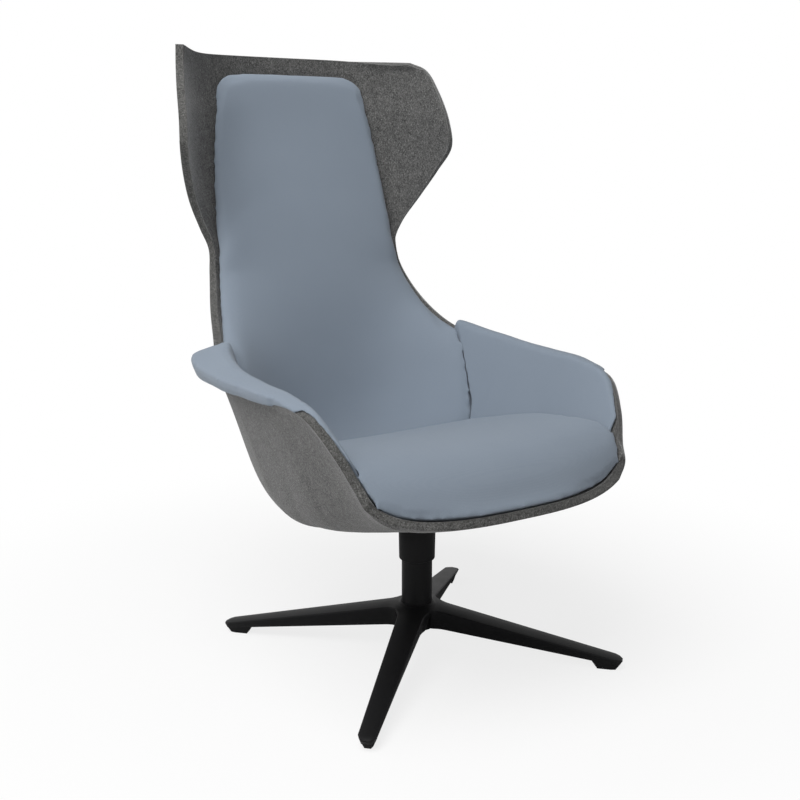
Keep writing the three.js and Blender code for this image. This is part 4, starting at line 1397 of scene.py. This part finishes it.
@dataclass
class Carcass:
    """The cast bracket, the boards and the screws between the felt and the pads."""

    screws: int = 4

    def build(self) -> None:
        """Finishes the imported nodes, which nothing of the outside shows."""
        dress_node("seat_bracket", POWDER)
        for node in ("seat_board", "back_board", "arm_board_right", "arm_board_left"):
            dress_node(node, PLY)
        for screw in range(1, self.screws + 1):
            dress_node(f"seat_screw_{screw}", STEEL)


@dataclass(frozen=True)
class Lamp:
    """One soft square lamp."""

    name: str
    place: Colour
    aim: Colour
    size: float
    watts: float

    def hang(self) -> None:
        """Hangs the lamp in its place and turns it to its aim."""
        light = bpy.data.lights.new(self.name, "AREA")
        light.shape, light.size, light.energy = "SQUARE", self.size, self.watts
        holder = placed(self.name, light)
        turn = (Vector(self.aim) - Vector(self.place)).to_track_quat("-Z", "Y")
        holder.matrix_world = Matrix.Translation(self.place) @ turn.to_matrix().to_4x4()


@dataclass
class Studio:
    """A pale floor, soft light from above and the left, and the camera."""

    eye: Colour = (-1.0894, -1.7874, 0.9388)
    ahead: Colour = (0.5188, 0.8268, -0.2172)
    lens: float = 50.0
    sensor: float = 36.0
    floor_colour: Colour = (0.93, 0.93, 0.93)
    floor_radius: float = 4.0
    floor_glow: float = 0.8
    sky: float = 0.12
    lamps: tuple = (
        Lamp("lamp_above", (-1.3, -0.6, 3.3), (0, 0, 0.4), 2.4, 96.0),
        Lamp("lamp_left", (-2.9, -1.2, 2.5), (0, 0, 0.8), 1.6, 15.0),
        Lamp("lamp_rim", (-2.4, 2.4, 1.5), (0, 0, 0.6), 1.6, 12.0),
        Lamp("lamp_front", (-2.3, -3.1, 1.9), (0, 0, 0.6), 2.2, 10.0),
    )

    def build(self) -> None:
        """Sets up everything that isn't the chair."""
        self._view()
        self._floor()
        self._world()
        for lamp in self.lamps:
            lamp.hang()
        scene = bpy.context.scene
        scene.view_settings.view_transform = "Standard"

    def _view(self) -> None:
        """Makes the camera."""
        camera = bpy.data.cameras.new("camera")
        camera.lens, camera.sensor_width = self.lens, self.sensor
        holder = placed("camera", camera)
        ahead = Vector(self.ahead).normalized()
        right = ahead.cross(Vector((0, 0, 1))).normalized()
        up = right.cross(ahead)
        turn = Matrix((right, up, -ahead)).transposed().to_4x4()
        holder.matrix_world = Matrix.Translation(self.eye) @ turn
        bpy.context.scene.camera = holder

    def _floor(self) -> None:
        """Makes the floor, which keeps the chair's shadow and fades to plain white further out."""
        bm = bmesh.new()
        bmesh.ops.create_circle(bm, cap_ends=True, radius=self.floor_radius, segments=128)
        floor = piece("floor", bm)
        material = bpy.data.materials.new("pale_floor")
        kit = NodeKit(material)
        away = kit.node("ShaderNodeVectorMath", {"operation": "LENGTH"}, {0: kit.place()}, "Value")
        seen = kit.node("ShaderNodeLightPath", output="Is Camera Ray")
        matte = kit.node("ShaderNodeBsdfDiffuse", None, {"Color": self.floor_colour})
        white = kit.node("ShaderNodeEmission", None, {"Color": (1.0, 1.0, 1.0), "Strength": 1.0})
        share = (away.smooth(0.35, 1.3) * (1.0 - self.floor_glow) + self.floor_glow) * seen
        mixed = kit.node("ShaderNodeMixShader", None, {0: share, 1: matte, 2: white})
        kit.node("ShaderNodeOutputMaterial", None, {"Surface": mixed})
        floor.data.materials.append(material)

    def _world(self) -> None:
        """Lights the chair from all round, and shows white to the camera and in gloss."""
        world = bpy.data.worlds.new("studio")
        bpy.context.scene.world = world
        kit = NodeKit(world)
        path = [
            kit.node("ShaderNodeLightPath", output=name)
            for name in ("Is Camera Ray", "Is Glossy Ray", "Is Transmission Ray")
        ]
        seen = kit.node("ShaderNodeMath", {"operation": "MAXIMUM"}, {0: path[0], 1: path[1]})
        seen = kit.node("ShaderNodeMath", {"operation": "MAXIMUM"}, {0: seen, 1: path[2]})
        strength = seen * (1.0 - self.sky) + self.sky
        back = kit.node(
            "ShaderNodeBackground", None, {"Color": (1.0, 1.0, 1.0), "Strength": strength}
        )
        kit.node("ShaderNodeOutputWorld", None, {"Surface": back})


def main() -> None:
    """Builds the chair piece by piece, lights it and aims the camera."""
    logging.basicConfig(level=logging.INFO, format="%(name)s %(message)s")
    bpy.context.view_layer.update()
    form = ShellForm()
    FeltShell(form).build()
    Lining(form).build()
    StarBase().build()
    SwivelColumn(form).build()
    Carcass().build()
    Studio().build()


if __name__ == "__main__":
    main()
